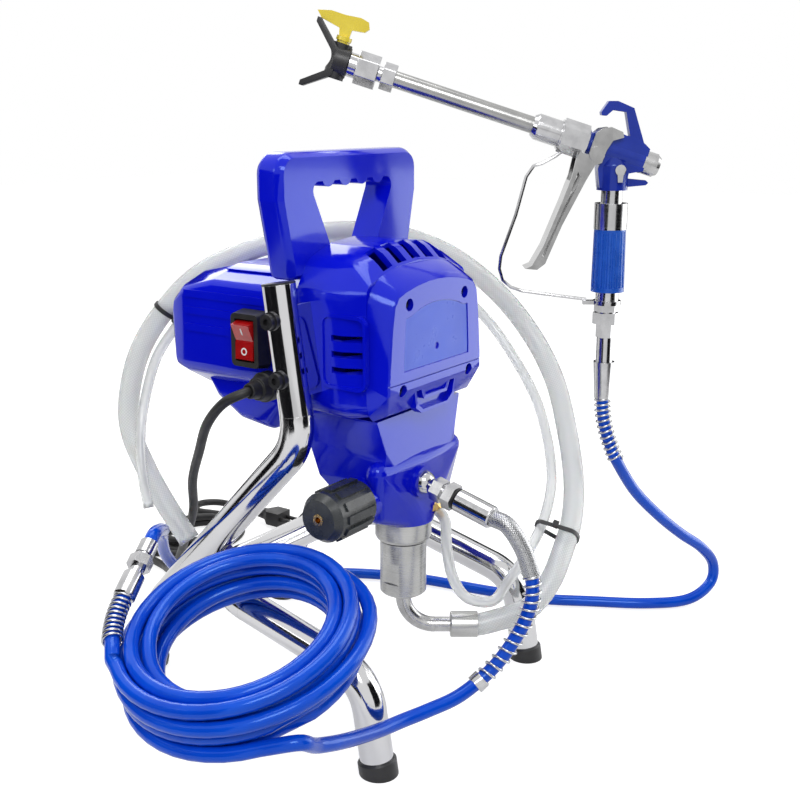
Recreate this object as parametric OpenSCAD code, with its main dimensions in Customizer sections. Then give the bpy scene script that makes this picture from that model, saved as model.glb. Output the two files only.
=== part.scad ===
// Electric airless paint sprayer on a bent-tube stand, with hose coil, spray gun and extension pole.
// Origin: on the floor, midway between the front feet. +Y to the rear, +Z up, millimetres.

/* [Frame] */
// Outside diameter of the frame tubes
tube_d = 25.4; // [24:0.1:26.5]
// Wall of the frame tubes
tube_wall = 1.6; // [1.2:0.1:2.5]
// Distance between the centres of the front feet
foot_span = 224; // [216:1:236]
// Distance between the centres of the two uprights
upright_span = 180; // [176:1:186]
// Centreline radius of the base frame bends
base_bend_r = 38; // [36:1:40]
// Centreline radius of the rear corners of the base frame
corner_r = 50; // [44:1:52]
// Centreline radius of the upright bends
upright_bend_r = 45; // [40:1:50]
// Height of the upper end of the uprights
upright_top = 352; // [346:1:352]
// Height of the rubber foot caps
foot_cap_h = 12; // [8:1:16]
// Diameter of the frame bolts
bolt_d = 8; // [6:0.5:8]

/* [Housings] */
// Half width of the gear housing
body_hw = 71; // [70:0.5:72]
// Top of the gear housing
body_top = 379.5; // [378:0.5:381]
// Wall of the moulded housings
wall = 3; // [2.5:0.1:4]
// Depth position of the front cover face
cover_y = 26; // [24:0.5:28]
// Parting plane between front cover and gear housing
cover_seam_y = 44; // [42:0.5:46]
// Height of the seam line across the front cover
cover_seam_z = 280; // [276:1:283]
// Number of cooling slots in the top of the gear housing
vent_count = 5; // [3:1:5]
// Width of one cooling slot
vent_w = 11.5; // [8:0.5:13]
// Half width of the motor housing
motor_hw = 61; // [59:0.5:63]
// Length of the motor housing behind the gear housing
motor_len = 152; // [148:1:154]
// Width of the carry handle between its outer faces at grip height
handle_w = 174; // [168:1:178]
// Depth of the carry handle, front to back
handle_depth = 26; // [22:1:28]
// Top of the carry handle
handle_top = 446; // [442:1:450]

/* [Drive] */
// Height of the motor shaft
motor_z = 300; // [298:0.5:302]
// Diameter of the motor shaft
shaft_d = 8; // [6:0.5:10]
// Teeth on the motor pinion
pinion_teeth = 12; // [12:1:13]
// Teeth on the drive gear
gear_teeth = 30; // [28:1:31]
// Gear module
gear_mod = 1.25; // [1.2:0.01:1.3]
// Diameter of the cooling fan
fan_d = 76; // [66:1:78]
// Radial running clearance of shafts in their bores
run_gap = 0.05; // [0.02:0.01:0.08]

/* [Pump] */
// Distance of the pump axis behind the front feet
pump_y = 58; // [57:0.5:59]
// Diameter of the pump flange
flange_d = 46; // [42:1:48]
// Diameter of the pump cylinder
cylinder_d = 38; // [34:1:40]
// Height of the lower end of the pump cylinder
cylinder_low = 91; // [88:1:94]
// Height of the pump block's lower face, where the flange seats
block_low = 155; // [153:0.5:157]
// Outside diameter of the intake elbow tube
elbow_d = 12.4; // [11:0.1:14]
// Centreline radius of the intake elbow
elbow_r = 26; // [24:0.5:28]
// Diameter of the pressure knob
knob_d = 41; // [36:0.5:44]
// Length of the pressure knob
knob_len = 48; // [44:0.5:50]
// Number of grip ribs on the pressure knob
knob_ribs = 12; // [8:1:16]
// Height of the hose outlet
outlet_z = 192; // [190:0.5:194]
// Height of the pressure knob
knob_z = 184; // [182:0.5:186]

/* [Hoses] */
// Outside diameter of the paint hose
hose_d = 10.5; // [9.5:0.1:10.7]
// Outside diameter of the clear suction hose
suction_d = 18.5; // [16:0.5:20]
// Outside diameter of the clear return hose
return_d = 9; // [8:0.5:10]
// Distance from one turn of the coil to the next
coil_pitch = 11; // [10.9:0.1:11.4]
// Radius of the innermost turns of the coil, to the hose centre
coil_r = 66; // [64:1:68]
// Turns in the coil of paint hose
coil_turns = 9.22; // [8.22:1:9.22]
// Diameter of the power cord
cord_d = 8; // [7:0.5:9]
// Wire diameter of the hose springs
spring_wire = 2; // [1.6:0.1:2.4]

/* [Switch] */
// Height of the rocker switch
switch_z = 302; // [300:0.5:304]
// Distance of the rocker switch behind the front feet
switch_y = 156; // [154:0.5:158]
// Length of the rocker
rocker_h = 32; // [28:0.5:34]
// Width of the rocker
rocker_w = 18; // [15:0.5:20]

/* [Gun] */
// Outside diameter of the extension pole
pole_d = 14; // [12:0.5:16]
// Length of the extension pole tube
pole_len = 130; // [120:1:160]
// Upward tilt of the gun head and pole
head_tilt = 17.7; // [16:0.1:19]
// Diameter of the fluted grip
grip_d = 27; // [25:0.5:29]
// Flutes round the grip
grip_flutes = 20; // [12:1:24]
// Width of the gun head block
head_w = 17; // [15:0.5:18]
// Diameter of the trigger pivot pin
trigger_pin_d = 5; // [4:0.5:6]
// Diameter of the guard wire
guard_wire = 3; // [2.5:0.1:3.5]

/* [Hidden] */
$fn = 48;
cut = 1;                                  // overrun of cutting bodies past the faces they open
foot_x = foot_span / 2;
upright_x = upright_span / 2;
blue = [0.05, 0.12, 0.75];
steel = [0.75, 0.75, 0.78];
black = [0.08, 0.08, 0.08];

// ---------- vector helpers ----------
function unit(v) = v / norm(v);
function mix(a, b, t) = a + (b - a) * t;
function cr(a, b, c, d, t) =
  0.5 * ((2 * b) + (c - a) * t + (2 * a - 5 * b + 4 * c - d) * t * t + (3 * b - 3 * c + d - a) * t * t * t);
// Smooth curve through route points, n rings per span
function smooth(p, n) = [
  for (i = [0 : len(p) - 2])
    for (k = [0 : n - 1])
      cr(i == 0 ? 2 * p[0] - p[1] : p[i - 1], p[i], p[i + 1],
        i + 2 < len(p) ? p[i + 2] : 2 * p[i + 1] - p[i], k / n),
  p[len(p) - 1]];
function tangents(p) = [for (i = [0 : len(p) - 1]) unit(p[min(i + 1, len(p) - 1)] - p[max(i - 1, 0)])];
function perp(t) = unit(cross(t, abs(t[2]) < 0.9 ? [0, 0, 1] : [1, 0, 0]));
// Frame normals carried along the curve without twist
function normals(t) = [
  for (i = 0, n = perp(t[0]); i < len(t);
    i = i + 1, n = i < len(t) ? unit(n - (n * t[i]) * t[i]) : n) n];

// One closed tube swept along points
module tube(p, r, sides = 10, tan0 = undef, tan1 = undef) {
  last = len(p) - 1;
  t0 = tangents(p);
  t = [for (i = [0 : last]) i == 0 && !is_undef(tan0) ? tan0 : (i == last && !is_undef(tan1) ? tan1 : t0[i])];
  n = normals(t);
  pts = [
    for (i = [0 : last])
      for (k = [0 : sides - 1])
        let (a = 360 * k / sides)
          p[i] + r * (cos(a) * n[i] + sin(a) * cross(t[i], n[i]))];
  faces = [
    [for (k = [0 : sides - 1]) sides - 1 - k],
    for (i = [0 : last - 1])
      for (k = [0 : sides - 1])
        let (a = i * sides + k, b = i * sides + (k + 1) % sides)
          each [[a, b, b + sides], [a, b + sides, a + sides]],
    [for (k = [0 : sides - 1]) last * sides + k]];
  polyhedron(points = pts, faces = [for (f = faces) [for (k = [len(f) - 1 : -1 : 0]) f[k]]]);
}

// Points of a helix wound round a curve: closed straight ends, curls in between
function wound(p, r, curls) =
  let (t = tangents(p), n = normals(t), m = len(p) - 1, steps = curls * 8)
    [for (s = [0 : steps])
      let (u = m * s / steps, i = min(floor(u), m - 1), f = u - i,
        c = mix(p[i], p[i + 1], f), tt = unit(mix(t[i], t[i + 1], f)),
        nn = unit(mix(n[i], n[i + 1], f) - (mix(n[i], n[i + 1], f) * tt) * tt),
        a = 45 * s)
        c + r * (cos(a) * nn + sin(a) * cross(tt, nn))];

function least_gap(p, d, skip) = min([
  for (i = [0 : len(p) - 1])
    for (j = [i + skip : 1 : len(p) - 1]) norm(p[i] - p[j])]) - d;

module hex(af, h) {
  cylinder(d = af / cos(30), h = h, $fn = 6);
}

// Flat plate in the XZ plane, w thick, centred on y = 0
module plate(w) {
  translate([0, w / 2, 0])
    rotate([90, 0, 0])
      linear_extrude(w)
        children();
}

// Bent bar: each step is [straight, roll, bend angle, bend radius]. The bends are a hair thicker
// than the straights, which run a little way into them.
module bent_bar(steps, d, over = 0, i = 0) {
  s = steps[i];
  low = i > 0 ? 0.2 : over;
  translate([0, 0, -low])
    cylinder(d = d, h = low + s[0] + (s[2] > 0 ? 0.2 : over));
  translate([0, 0, s[0]])
    rotate([0, 0, s[1]]) {
      if (s[2] > 0)
        translate([s[3], 0, 0])
          rotate([90, 0, 180])
            rotate_extrude(angle = s[2])
              translate([s[3], 0])
                circle(d = d + 0.2);
      if (i + 1 < len(steps))
        translate([s[3] * (1 - cos(s[2])), 0, s[3] * sin(s[2])])
          rotate([0, s[2], 0])
            bent_bar(steps, d, over, i + 1);
    }
}

module bent_tube(steps, od, id) {
  difference() {
    bent_bar(steps, od);
    bent_bar(steps, id, cut);
  }
}

// ---------- frame ----------
tube_id = tube_d - 2 * tube_wall;
lean = 8.4;                               // uprights lean forward as they go down
diag = 43.6;                              // diagonal, measured from straight down
rear_y = 268;                             // rear feet
heel = 15;                                // rear feet spread rearward
knee = [89.3, 233.7];                     // upright and diagonal centrelines meet here (y, z)
heel_z = (knee[0] + knee[1] * tan(diag) - rear_y) / (tan(diag) - tan(heel));
heel_y = rear_y - heel_z * tan(heel);
up_top_y = knee[0] + (upright_top - knee[1]) * tan(lean);
knee_tan = upright_bend_r * tan((lean + diag) / 2);
heel_tan = upright_bend_r * tan((diag - heel) / 2);
up_len = (upright_top - knee[1]) / cos(lean) - knee_tan;
diag_len = (heel_y - knee[0]) / sin(diag) - knee_tan - heel_tan;
cap_floor = 3;                            // thickness of a foot cap under the tube
foot_lean = 9.5;                          // front legs lean rearward as they rise
rail_rise = 13.5;                         // side rails rise to the rear
toe = [14.3, 73.5];                       // front leg and side rail centrelines meet here (y, z)
toe_tan = base_bend_r * tan((90 - rail_rise - foot_lean) / 2);
cross_y = 176;                            // rear cross tube of the base frame
saddle = [181, 119.7];                    // where uprights and base frame touch (y, z)
rail_total = (cross_y - toe[0]) / cos(rail_rise);
cross_z = toe[1] + rail_total * sin(rail_rise);
leg_len = toe[1] / cos(foot_lean);
cap_gap = 0;

module upright(side) {
  color(steel)
    translate([side * upright_x, up_top_y, upright_top])
      rotate([0, 0, 90])
        rotate([0, 180 + lean, 0])
          bent_tube([[up_len, 180, lean + diag, upright_bend_r],
            [diag_len, 180, diag - heel, upright_bend_r],
            [heel_z / cos(heel) - heel_tan - cap_floor, 0, 0, 0]], tube_d, tube_id);
}

// Solid bar on the upright's upper centreline, for seats and bores
module upright_bar(side, d) {
  translate([side * upright_x, up_top_y, upright_top])
    rotate([0, 0, 90])
      rotate([0, 180 + lean, 0])
        translate([0, 0, -2])
          cylinder(d = d, h = up_len + 2);
}

module upright_diag_bar(side, d) {
  translate([side * upright_x, knee[0], knee[1]])
    rotate([-(180 - diag), 0, 0])
      cylinder(d = d, h = (heel_y - knee[0]) / sin(diag));
}

bolt_zs = [327, 284];                     // heights of the frame bolts
function up_y(z) = knee[0] + (z - knee[1]) * tan(lean);

module upright_left() {
  difference() {
    upright(-1);
    bolt_holes(-1);
  }
}

module upright_right() {
  difference() {
    upright(1);
    bolt_holes(1);
  }
}

module bolt_holes(side) {
  for (z = bolt_zs)
    translate([side * (upright_x + tube_d), up_y(z), z])
      rotate([0, -side * 90, 0])
        cylinder(d = bolt_d + 2 * run_gap, h = 2 * tube_d);
}

module base_bars(d, over = 0) {
  for (side = [-1, 1])
    translate([side * foot_x, toe[0] - toe[1] * tan(foot_lean), 0])
      rotate([0, 0, 90])
        rotate([0, foot_lean, 0])
          translate([0, 0, cap_floor])
            bent_bar([[leg_len - toe_tan - cap_floor, 0, 90 - rail_rise - foot_lean, base_bend_r],
              [rail_total - toe_tan - corner_r, side * 90, 90, corner_r]], d, over);
  translate([-foot_x + corner_r - 0.05, cross_y, cross_z])
    rotate([0, 90, 0])
      cylinder(d = d, h = foot_span - 2 * corner_r + 0.1);
}

module base_frame() {
  color(steel)
    difference() {
      union() {
        base_bars(tube_d);
        // saddles welded on where the uprights rest on the base frame
        for (side = [-1, 1])
          translate([side * (upright_x - 3), saddle[0], saddle[1]])
            rotate([diag, 0, 0])
              cube([9, 12, 30], center = true);
      }
      base_bars(tube_id, cut);
      for (side = [-1, 1])
        upright_diag_bar(side, tube_d);
    }
}

module upright_brackets() {
  color(steel)
    for (side = [-1, 1])
      difference() {
        translate([side * (body_hw + upright_x) / 2, up_y(303) - 1, 303])
          rotate([-lean, 0, 0])
            cube([upright_x - body_hw, 22, 68], center = true);
        upright_bar(side, tube_d);
        bolt_holes_deep(side, bolt_d + 2 * run_gap);
      }
}

module bolt_holes_deep(side, d) {
  for (z = bolt_zs)
    translate([side * (upright_x + tube_d), up_y(z), z])
      rotate([0, -side * 90, 0])
        cylinder(d = d, h = upright_x + tube_d - pad_x + bolt_grip);
}
bolt_grip = 10;                           // thread length in the housing pads

module frame_bolts() {
  color(steel)
    for (side = [-1, 1])
      for (z = bolt_zs)
        difference() {
          translate([side * (upright_x + tube_d / 2 + 2), up_y(z), z])
            rotate([0, -side * 90, 0]) {
              cylinder(d = 14, h = 6);
              translate([0, 0, -4.5])
                difference() {
                  cylinder(d = 11.5, h = 5);
                  translate([0, 0, -cut])
                    hex(5, 3.5);
                }
              cylinder(d = bolt_d, h = upright_x + tube_d / 2 + 2 - motor_hw - 0.4);
            }
          // washers are hollowed to sit on the round tube
          difference() {
            upright_bar(side, tube_d);
            bolt_holes_deep(side, bolt_d);
          }
        }
}

module tube_caps() {
  color(black) {
    for (side = [-1, 1]) {
      difference() {
        translate([side * foot_x, toe[0] - toe[1] * tan(foot_lean), 0])
          rotate([-foot_lean, 0, 0])
            foot_cap();
        translate([side * foot_x, 0, -20])
          cube([60, 60, 40], center = true);
      }
      difference() {
        translate([side * upright_x, rear_y, 0])
          rotate([heel, 0, 0])
            foot_cap();
        translate([side * upright_x, rear_y, -20])
          cube([60, 60, 40], center = true);
      }
      translate([side * upright_x, up_top_y, upright_top])
        rotate([-lean, 0, 0]) {
          cylinder(d = tube_d, h = 1.5);
          translate([0, 0, -8])
            cylinder(d = tube_id - 0.1, h = 9);
        }
    }
  }
}

module foot_cap() {
  difference() {
    union() {
      translate([0, 0, -6])
        cylinder(d = tube_d + 4, h = foot_cap_h + 4);
      translate([0, 0, foot_cap_h - 2])
        cylinder(d1 = tube_d + 4, d2 = tube_d + 1.6, h = 1.5);
    }
    translate([0, 0, cap_floor])
      cylinder(d = tube_d, h = foot_cap_h + 4);
  }
  translate([0, 0, cap_floor - 1])
    cylinder(d = tube_id - 0.1, h = foot_cap_h + 4);
}

// ---------- housings ----------
pad_x = 66;                               // outer face of the side pads that carry the uprights
house_back = 106;                         // rear face of the gear housing
motor_back = house_back + motor_len;

// Thin discs at depth y, [x, z, radius] mirrored to both sides and drawn in by d
disc_t = 0.5;                             // thickness of the discs that a hull runs through
module discs(y, list, d = 0) {
  for (c = list)
    for (s = c[0] == 0 ? [1] : [-1, 1])
      translate([s * c[0], y, c[1]])
        rotate([-90, 0, 0])
          cylinder(r = max(c[2] - d, 0.6), h = disc_t, $fn = c[2] > 12 ? 24 : 16);
}
arch = [[0, body_top - 20, 20], [28, body_top - 22.5, 20], [body_hw - 27, body_top - 28, 20],
  [body_hw - 20, body_top - 40, 20], [body_hw - 14, 264, 14]];

module slab(y, t = 0.1) {
  translate([0, y + t, 0])
    rotate([90, 0, 0])
      linear_extrude(t)
        children();
}

seam_ring = [[body_hw - 14, 345, 14], [body_hw - 14, 264, 14]];

module gear_shell_outer(d = 0) {
  hull() {
    discs(cover_seam_y, arch, 14 + d);
    discs(cover_seam_y, seam_ring, 4 + d);
    discs(cover_seam_y + 6, arch, 8.5 + d);
    discs(cover_seam_y + 11, arch, 4 + d);
    discs(cover_seam_y + 19, arch, d);
    discs(house_back - disc_t, arch, d);
  }
}

module gear_shell_inner() {
  hull() {
    discs(cover_seam_y + wall, arch, 14 + wall);
    discs(cover_seam_y + 20, arch, wall);
    discs(house_back - wall - disc_t, arch, wall);
  }
}

module gear_housing() {
  color(blue)
    difference() {
      union() {
        difference() {
          gear_shell_outer();
          gear_shell_inner();
        }
        for (side = [-1, 1]) {
          // side pads that carry the uprights
          intersection() {
            translate([side * (pad_x - 7), up_y(300) - 4, 300])
              rotate([-lean, 0, 0])
                cube([14, 34, 96], center = true);
            translate([0, (cover_seam_y + house_back) / 2, 300])
              cube([2 * pad_x, house_back - cover_seam_y, 160], center = true);
          }
          // raised frame round the side louvres
          translate([side * (body_hw - 3), 62, 303])
            rotate([0, side * 90, 0])
              louvre_frame();
        }
        // bearing bosses for the motor shaft and the crank shaft
        for (z = [motor_z, gear_z])
          translate([0, house_back, z])
            rotate([90, 0, 0])
              cylinder(d = shaft_d + 10, h = 8);
      }
      // cooling slots over the front edge of the roof
      for (i = [0 : vent_count - 1])
        let (x = (i - (vent_count - 1) / 2) * vent_pitch)
          translate([x - vent_w / 2, cover_seam_y + 2, body_top - 19 - abs(x) / 9])
            cube([vent_w, 17, 40]);
      // side louvres
      for (side = [-1, 1])
        for (z = [289, 301, 313])
          translate([side * body_hw, 60, z])
            rotate([0, side * 14, 0])
              cube([24, 27, 4.5], center = true);
      // window in the front wall for the crank
      translate([-30, cover_seam_y - 1, 248])
        cube([60, wall + 2, 62]);
      // opening in the floor for the connecting rod
      translate([-17, cover_seam_y + wall + 2, 245])
        cube([34, 42, 12]);
      // shaft bores
      translate([0, house_back + 1, motor_z])
        rotate([90, 0, 0])
          cylinder(d = shaft_d + 2 * run_gap, h = 12);
      translate([0, house_back + 1, gear_z])
        rotate([90, 0, 0])
          cylinder(d = crank_d + 2 * run_gap, h = 12);
      for (side = [-1, 1])
        bolt_holes_deep(side, bolt_d);
      // pilot holes for the cover screws
      for (p = screw_pos)
        translate([p[0], cover_seam_y - 1, p[1]])
          rotate([-90, 0, 0])
            cylinder(d = screw_d, h = 10);
    }
}
vent_pitch = 18.6;                          // spacing of the roof slots
screw_d = 4;                              // cover screw thread
screw_pos = [[-38, 337.5], [38, 337.5], [-46, 274], [46, 274]];

// Rounded bar outline, a long and b wide, corner radius r
module rounded(a, b, r) {
  square([a, b - 2 * r], center = true);
  square([a - 2 * r, b], center = true);
  for (s = [-1, 1])
    for (t = [-1, 1])
      translate([s * (a / 2 - r), t * (b / 2 - r)])
        circle(r = r, $fn = 16);
}

module louvre_frame() {
  linear_extrude(4.5)
    difference() {
      rounded(56, 42, 8);
      rounded(51, 37, 5.5);
    }
}

// Front cover outline, right half, at the seam and at the face
cover_half = [[0, 364], [20, 363.5], [38, 361.5], [52, 357], [61, 350], [66, 340], [67.5, 322], [68, 300],
  [68, 280], [67.5, 265], [65, 256], [60, 251]];
face_half = [[0, 354], [15, 353.4], [30, 351.5], [44, 348.5], [52.5, 345.5], [57.5, 339], [60.5, 322],
  [62.5, 302], [64, 284], [64, 272]];
function inset(p, d) = [for (q = p) [q[0] - d * min(1, q[0] / 20), q[1] > 300 ? q[1] - d : q[1] + d]];

module half_outline(h) {
  polygon([each h, for (i = [len(h) - 1 : -1 : 1]) [-h[i][0], h[i][1]]]);
}

module front_cover() {
  color(blue)
    difference() {
      hull() {
        slab(cover_y)
          half_outline(inset(face_half, 1.5));
        slab(cover_y + 1.5)
          half_outline(face_half);
        slab(cover_y + 7)
          half_outline(inset(cover_half, 5));
        slab(cover_seam_y - 0.2)
          half_outline(cover_half);
      }
      hull() {
        slab(cover_y + wall)
          half_outline(inset(face_half, wall + 1));
        slab(cover_seam_y + cut)
          half_outline(inset(cover_half, wall));
      }
      // seam line across the face
      translate([-80, cover_y - 2, cover_seam_z - 0.6])
        cube([160, 2 + 1.2, 1.2]);
      // label field, left plain
      translate([0, cover_y + 0.9, 0])
        slab(-2, 2)
          label_field();
      // screw wells
      for (p = screw_pos)
        translate([p[0], cover_y - 2, p[1]])
          rotate([-90, 0, 0])
            cylinder(d = 9.4, h = 2 + wall + 2);
      translate([0, cover_y - 2, 301])
        rotate([-90, 0, 0])
          cylinder(d = 5, h = 4);
      // finger pocket under the seam
      pocket();
    }
  color(blue)
    difference() {
      translate([0, cover_y + 8.5, 0])
        rotate([90, 0, 0])
          linear_extrude(7)
            pocket_shape(2.5);
      translate([0, cover_y + 6.5, 0])
        rotate([90, 0, 0])
          linear_extrude(7)
            pocket_shape(0);
    }
  color(blue)
    for (p = screw_pos)
      translate([p[0], cover_y + wall - 1, p[1]])
        rotate([-90, 0, 0])
          difference() {
            cylinder(d = 12, h = cover_seam_y - cover_y - wall + 0.8);
            translate([0, 0, -cut])
              cylinder(d = 9.4, h = cut + 5);
            translate([0, 0, -cut])
              cylinder(d = screw_d + 0.6, h = 30);
          }
}

module label_field() {
  intersection() {
    translate([-45, 288])
      square([90, 60]);
    union() {
      polygon([[-45.6, 288], [45.6, 288], [42.5, 328], [0, 333], [-42.5, 328]]);
      intersection() {
        translate([0, 246])
          circle(r = 90, $fn = 96);
        translate([-42.5, 320])
          square([85, 20]);
      }
    }
  }
}

module pocket() {
  translate([0, cover_y + 6.5, 0])
    rotate([90, 0, 0])
      linear_extrude(11)
        pocket_shape(0);
}
module pocket_shape(grow) {
  g = grow;
  polygon([[-27 - g, 270 + g], [-20 + g, 270 + g], [-16 + g, 262 + g], [16 - g, 262 + g], [20 - g, 270 + g],
    [27 + g, 270 + g], [24 + g, 259 - g], [17 + g, 254 - g], [-17 - g, 254 - g], [-24 - g, 259 - g]]);
}

module cover_screws() {
  color(steel)
    for (p = screw_pos)
      translate([p[0], cover_y + wall + 4, p[1]])
        rotate([90, 0, 0])
          difference() {
            union() {
              cylinder(d = 8, h = 3);
              translate([0, 0, -cover_seam_y + cover_y + wall - 4])
                cylinder(d = screw_d, h = cover_seam_y - cover_y - wall + 5);
            }
            translate([-2.5, -0.5, 1.6])
              cube([5, 1, 4]);
            translate([-0.5, -2.5, 1.6])
              cube([1, 5, 4]);
          }
}

function motor_ring(drop) = [[motor_hw - 9, 336 - drop, 9], [30, 345 - drop, 8], [motor_hw - 14, 275, 14],
  [24, 262, 14]];

module motor_outer(d = 0) {
  hull() {
    discs(house_back, motor_ring(0), d);
    discs(motor_back - 54, motor_ring(0), d);
    discs(motor_back - 20, motor_ring(7), 0.5 + d);
    discs(motor_back - 7, motor_ring(16), 4 + d);
    discs(motor_back - disc_t, motor_ring(26), 12 + d);
  }
}

module motor_housing() {
  color(blue)
    difference() {
      union() {
        motor_outer();
        // stepped ribs along both sides
        for (side = [-1, 1])
          for (z = [331, 317, 303])
            translate([side * (motor_hw - 1), house_back + 68, z])
              cube([5, 120, 6], center = true);
        roof_panel();
      }
      hull() {
        discs(house_back + wall, motor_ring(0), wall);
        discs(motor_back - 54, motor_ring(0), wall);
        discs(motor_back - 20, motor_ring(7), 1 + wall);
        discs(motor_back - 8 - wall, motor_ring(16), 5 + wall);
      }
      // shaft bore in the front wall
      translate([0, house_back - 1, motor_z])
        rotate([-90, 0, 0])
          cylinder(d = shaft_d + 2 * run_gap, h = wall + 2);
      translate([0, house_back - 1, gear_z])
        rotate([-90, 0, 0])
          cylinder(d = crank_d + 1, h = wall + 2);
      // rear cooling slots
      for (i = [-4 : 4])
        translate([i * 9 - 2, motor_back - 14, 280])
          cube([4, 18, 30]);
      // well of the switch
      translate([-motor_hw - 4, switch_y, switch_z])
        cube([wall + 14, rocker_w + 5, rocker_h + 5], center = true);
      // cord entry
      translate([-motor_hw - 4, gland_y, gland_z])
        rotate([0, 90, 0])
          cylinder(d = 12.1, h = 24);
    }
  // rear bearing post of the motor shaft
  color(blue)
    translate([0, motor_back - 8 - wall + 1, motor_z])
      rotate([90, 0, 0])
        difference() {
          union() {
            cylinder(d = shaft_d + 10, h = 14);
            translate([-46, -2, 0])
              cube([92, 4, 6]);
            translate([-2, -34, 0])
              cube([4, 64, 6]);
          }
          translate([0, 0, -cut])
            cylinder(d = shaft_d + 2 * run_gap, h = 16);
        }
}

// Crowned panel on the roof of the motor housing
module roof_panel() {
  hull() {
    translate([-34, house_back, 354])
      cube([68, 1, 1.5]);
    translate([-28, motor_back - 58, 353.5])
      cube([56, 1, 1.5]);
    translate([-42, house_back, 350])
      cube([84, motor_len - 54, 1]);
  }
}
gland_y = 140;                            // cord gland, behind the front feet
gland_z = 266.6;                          // cord gland height

module lower_cover() {
  color(blue)
    difference() {
      hull() {
        translate([-44, 148, 258])
          cube([88, 78, 1]);
        for (s = [-1, 1]) {
          translate([s * 34, 164, 232])
            sphere(r = 11, $fn = 16);
          translate([s * 34, 192, 236])
            sphere(r = 11, $fn = 16);
          translate([s * 36, 214, 248])
            sphere(r = 9, $fn = 16);
          translate([s * 38, 150, 248])
            sphere(r = 8, $fn = 16);
        }
      }
      // seats against the underside of the motor housing
      motor_outer();
    }
}

// ---------- pump block ----------
block_front = 36;                         // front face of the lower block
knob_y = 60;                              // pressure knob axis
module pump_block() {
  color(blue)
    difference() {
      union() {
        // tapered body between the gear housing and the pump
        hull() {
          translate([-57, cover_seam_y - 2, 248])
            cube([114, 60, 1.9]);
          translate([-48, 40, 222])
            cube([96, 76, 2]);
        }
        hull() {
          translate([-48, 40, 222])
            cube([96, 76, 2]);
          translate([-50, 42, 196])
            cube([100, 62, 2]);
          translate([-44, 50, 168])
            cube([88, 26, 2]);
          translate([0, pump_y, block_low])
            cylinder(d = flange_d + 4, h = 2, $fn = 32);
        }
        // nose under the cover
        hull() {
          for (s = [-1, 1]) {
            translate([s * 50, 47, 207])
              sphere(r = 9, $fn = 16);
            translate([s * 42, 52, 172])
              sphere(r = 9, $fn = 16);
          }
          translate([0, 42, 207])
            sphere(r = 8, $fn = 16);
          translate([0, 48, 168])
            sphere(r = 9, $fn = 16);
          translate([0, pump_y, block_low])
            cylinder(d = flange_d, h = 2, $fn = 32);
        }
        // outlet boss and knob boss
        translate([out_x, 32, outlet_z])
          rotate([-90, 0, 0])
            cylinder(d = 26, h = 16);
        translate([-knob_x, knob_y, knob_z])
          rotate([0, 90, 0])
            cylinder(d = 34, h = 20);
        translate([return_x, return_y0, return_z])
          rotate([-40, 0, 0])
            cylinder(d = 13, h = 18);
      }
      // pump bore
      translate([0, pump_y, block_low - 1])
        cylinder(d = 30, h = 110);
      // outlet port
      translate([out_x, 30, outlet_z])
        rotate([-90, 0, 0])
          cylinder(d = port_d, h = 20);
      outlet_at()
        sphere(d = ball_d + 0.2);
      // knob spindle bore
      translate([-knob_x - 1, knob_y, knob_z])
        rotate([0, 90, 0])
          cylinder(d = spindle_d + 2 * run_gap, h = 26);
      // return port
      translate([return_x, return_y0, return_z])
        rotate([180 - 40, 0, 0])
          translate([0, 0, -14])
            cylinder(d = 8, h = 30);
      // seats against the cover and the gear housing
      translate([-80, cover_y - 10, 249.8])
        cube([160, 140, 20]);
    }
}
ball_d = 19;                              // ball of the outlet fitting
port_d = 14;                              // outlet port thread
spindle_d = 8;                            // pressure knob spindle
knob_x = 58;                              // face of the knob boss
out_x = -8;                               // outlet, left of the centre plane
return_x = 13;                            // return hose port
return_y0 = 38;
return_z = 168;

module knob_at() {
  translate([-knob_x - knob_gap, knob_y, knob_z])
    rotate([0, -90, 0])
      children();
}
knob_gap = 0.5;                           // running gap behind the knob

module pressure_knob() {
  color(black)
    knob_at()
      difference() {
        union() {
          cylinder(d = knob_d - 5, h = 6);
          translate([0, 0, 5.9])
            cylinder(d = knob_d - 4, h = knob_len - 12);
          translate([0, 0, knob_len - 6.2])
            cylinder(d1 = knob_d - 3, d2 = knob_d - 11, h = 6.2);
          translate([0, 0, knob_len - 14])
            cylinder(d = knob_d - 3, h = 8);
          for (i = [0 : knob_ribs - 1])
            rotate([0, 0, i * 360 / knob_ribs])
              translate([knob_d / 2 - 5, -3.2, 4])
                cube([5, 6.4, knob_len - 16]);
          translate([0, 0, -22])
            cylinder(d = spindle_d, h = 24);
        }
        translate([0, 0, knob_len - 12])
          cylinder(d = insert_d, h = 20);
      }
}
insert_d = 9;                             // brass insert in the knob face

module knob_insert() {
  color([0.8, 0.6, 0.3])
    knob_at()
      translate([0, 0, knob_len - 12])
        difference() {
          cylinder(d = insert_d, h = 12.4);
          translate([0, 0, 4])
            cylinder(d = 5, h = 12);
        }
}

// ---------- carry handle ----------
handle_y = 105;                           // front face of the carry handle
handle_ring = [[handle_w / 2 - 16, handle_top - 16, 16], [handle_w / 2 - 5, handle_top - 34, 5],
  [handle_w / 2 - 17, 357, 5]];

module handle_opening() {
  difference() {
    hull()
      for (s = [-1, 1]) {
        translate([s * 43, handle_top - 29])
          circle(r = 7, $fn = 16);
        translate([s * 22, 372])
          circle(r = 6, $fn = 16);
      }
    for (i = [-1.5 : 1 : 1.5])
      translate([i * 21, handle_top - 18.5])
        circle(r = 8, $fn = 20);
  }
}

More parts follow.
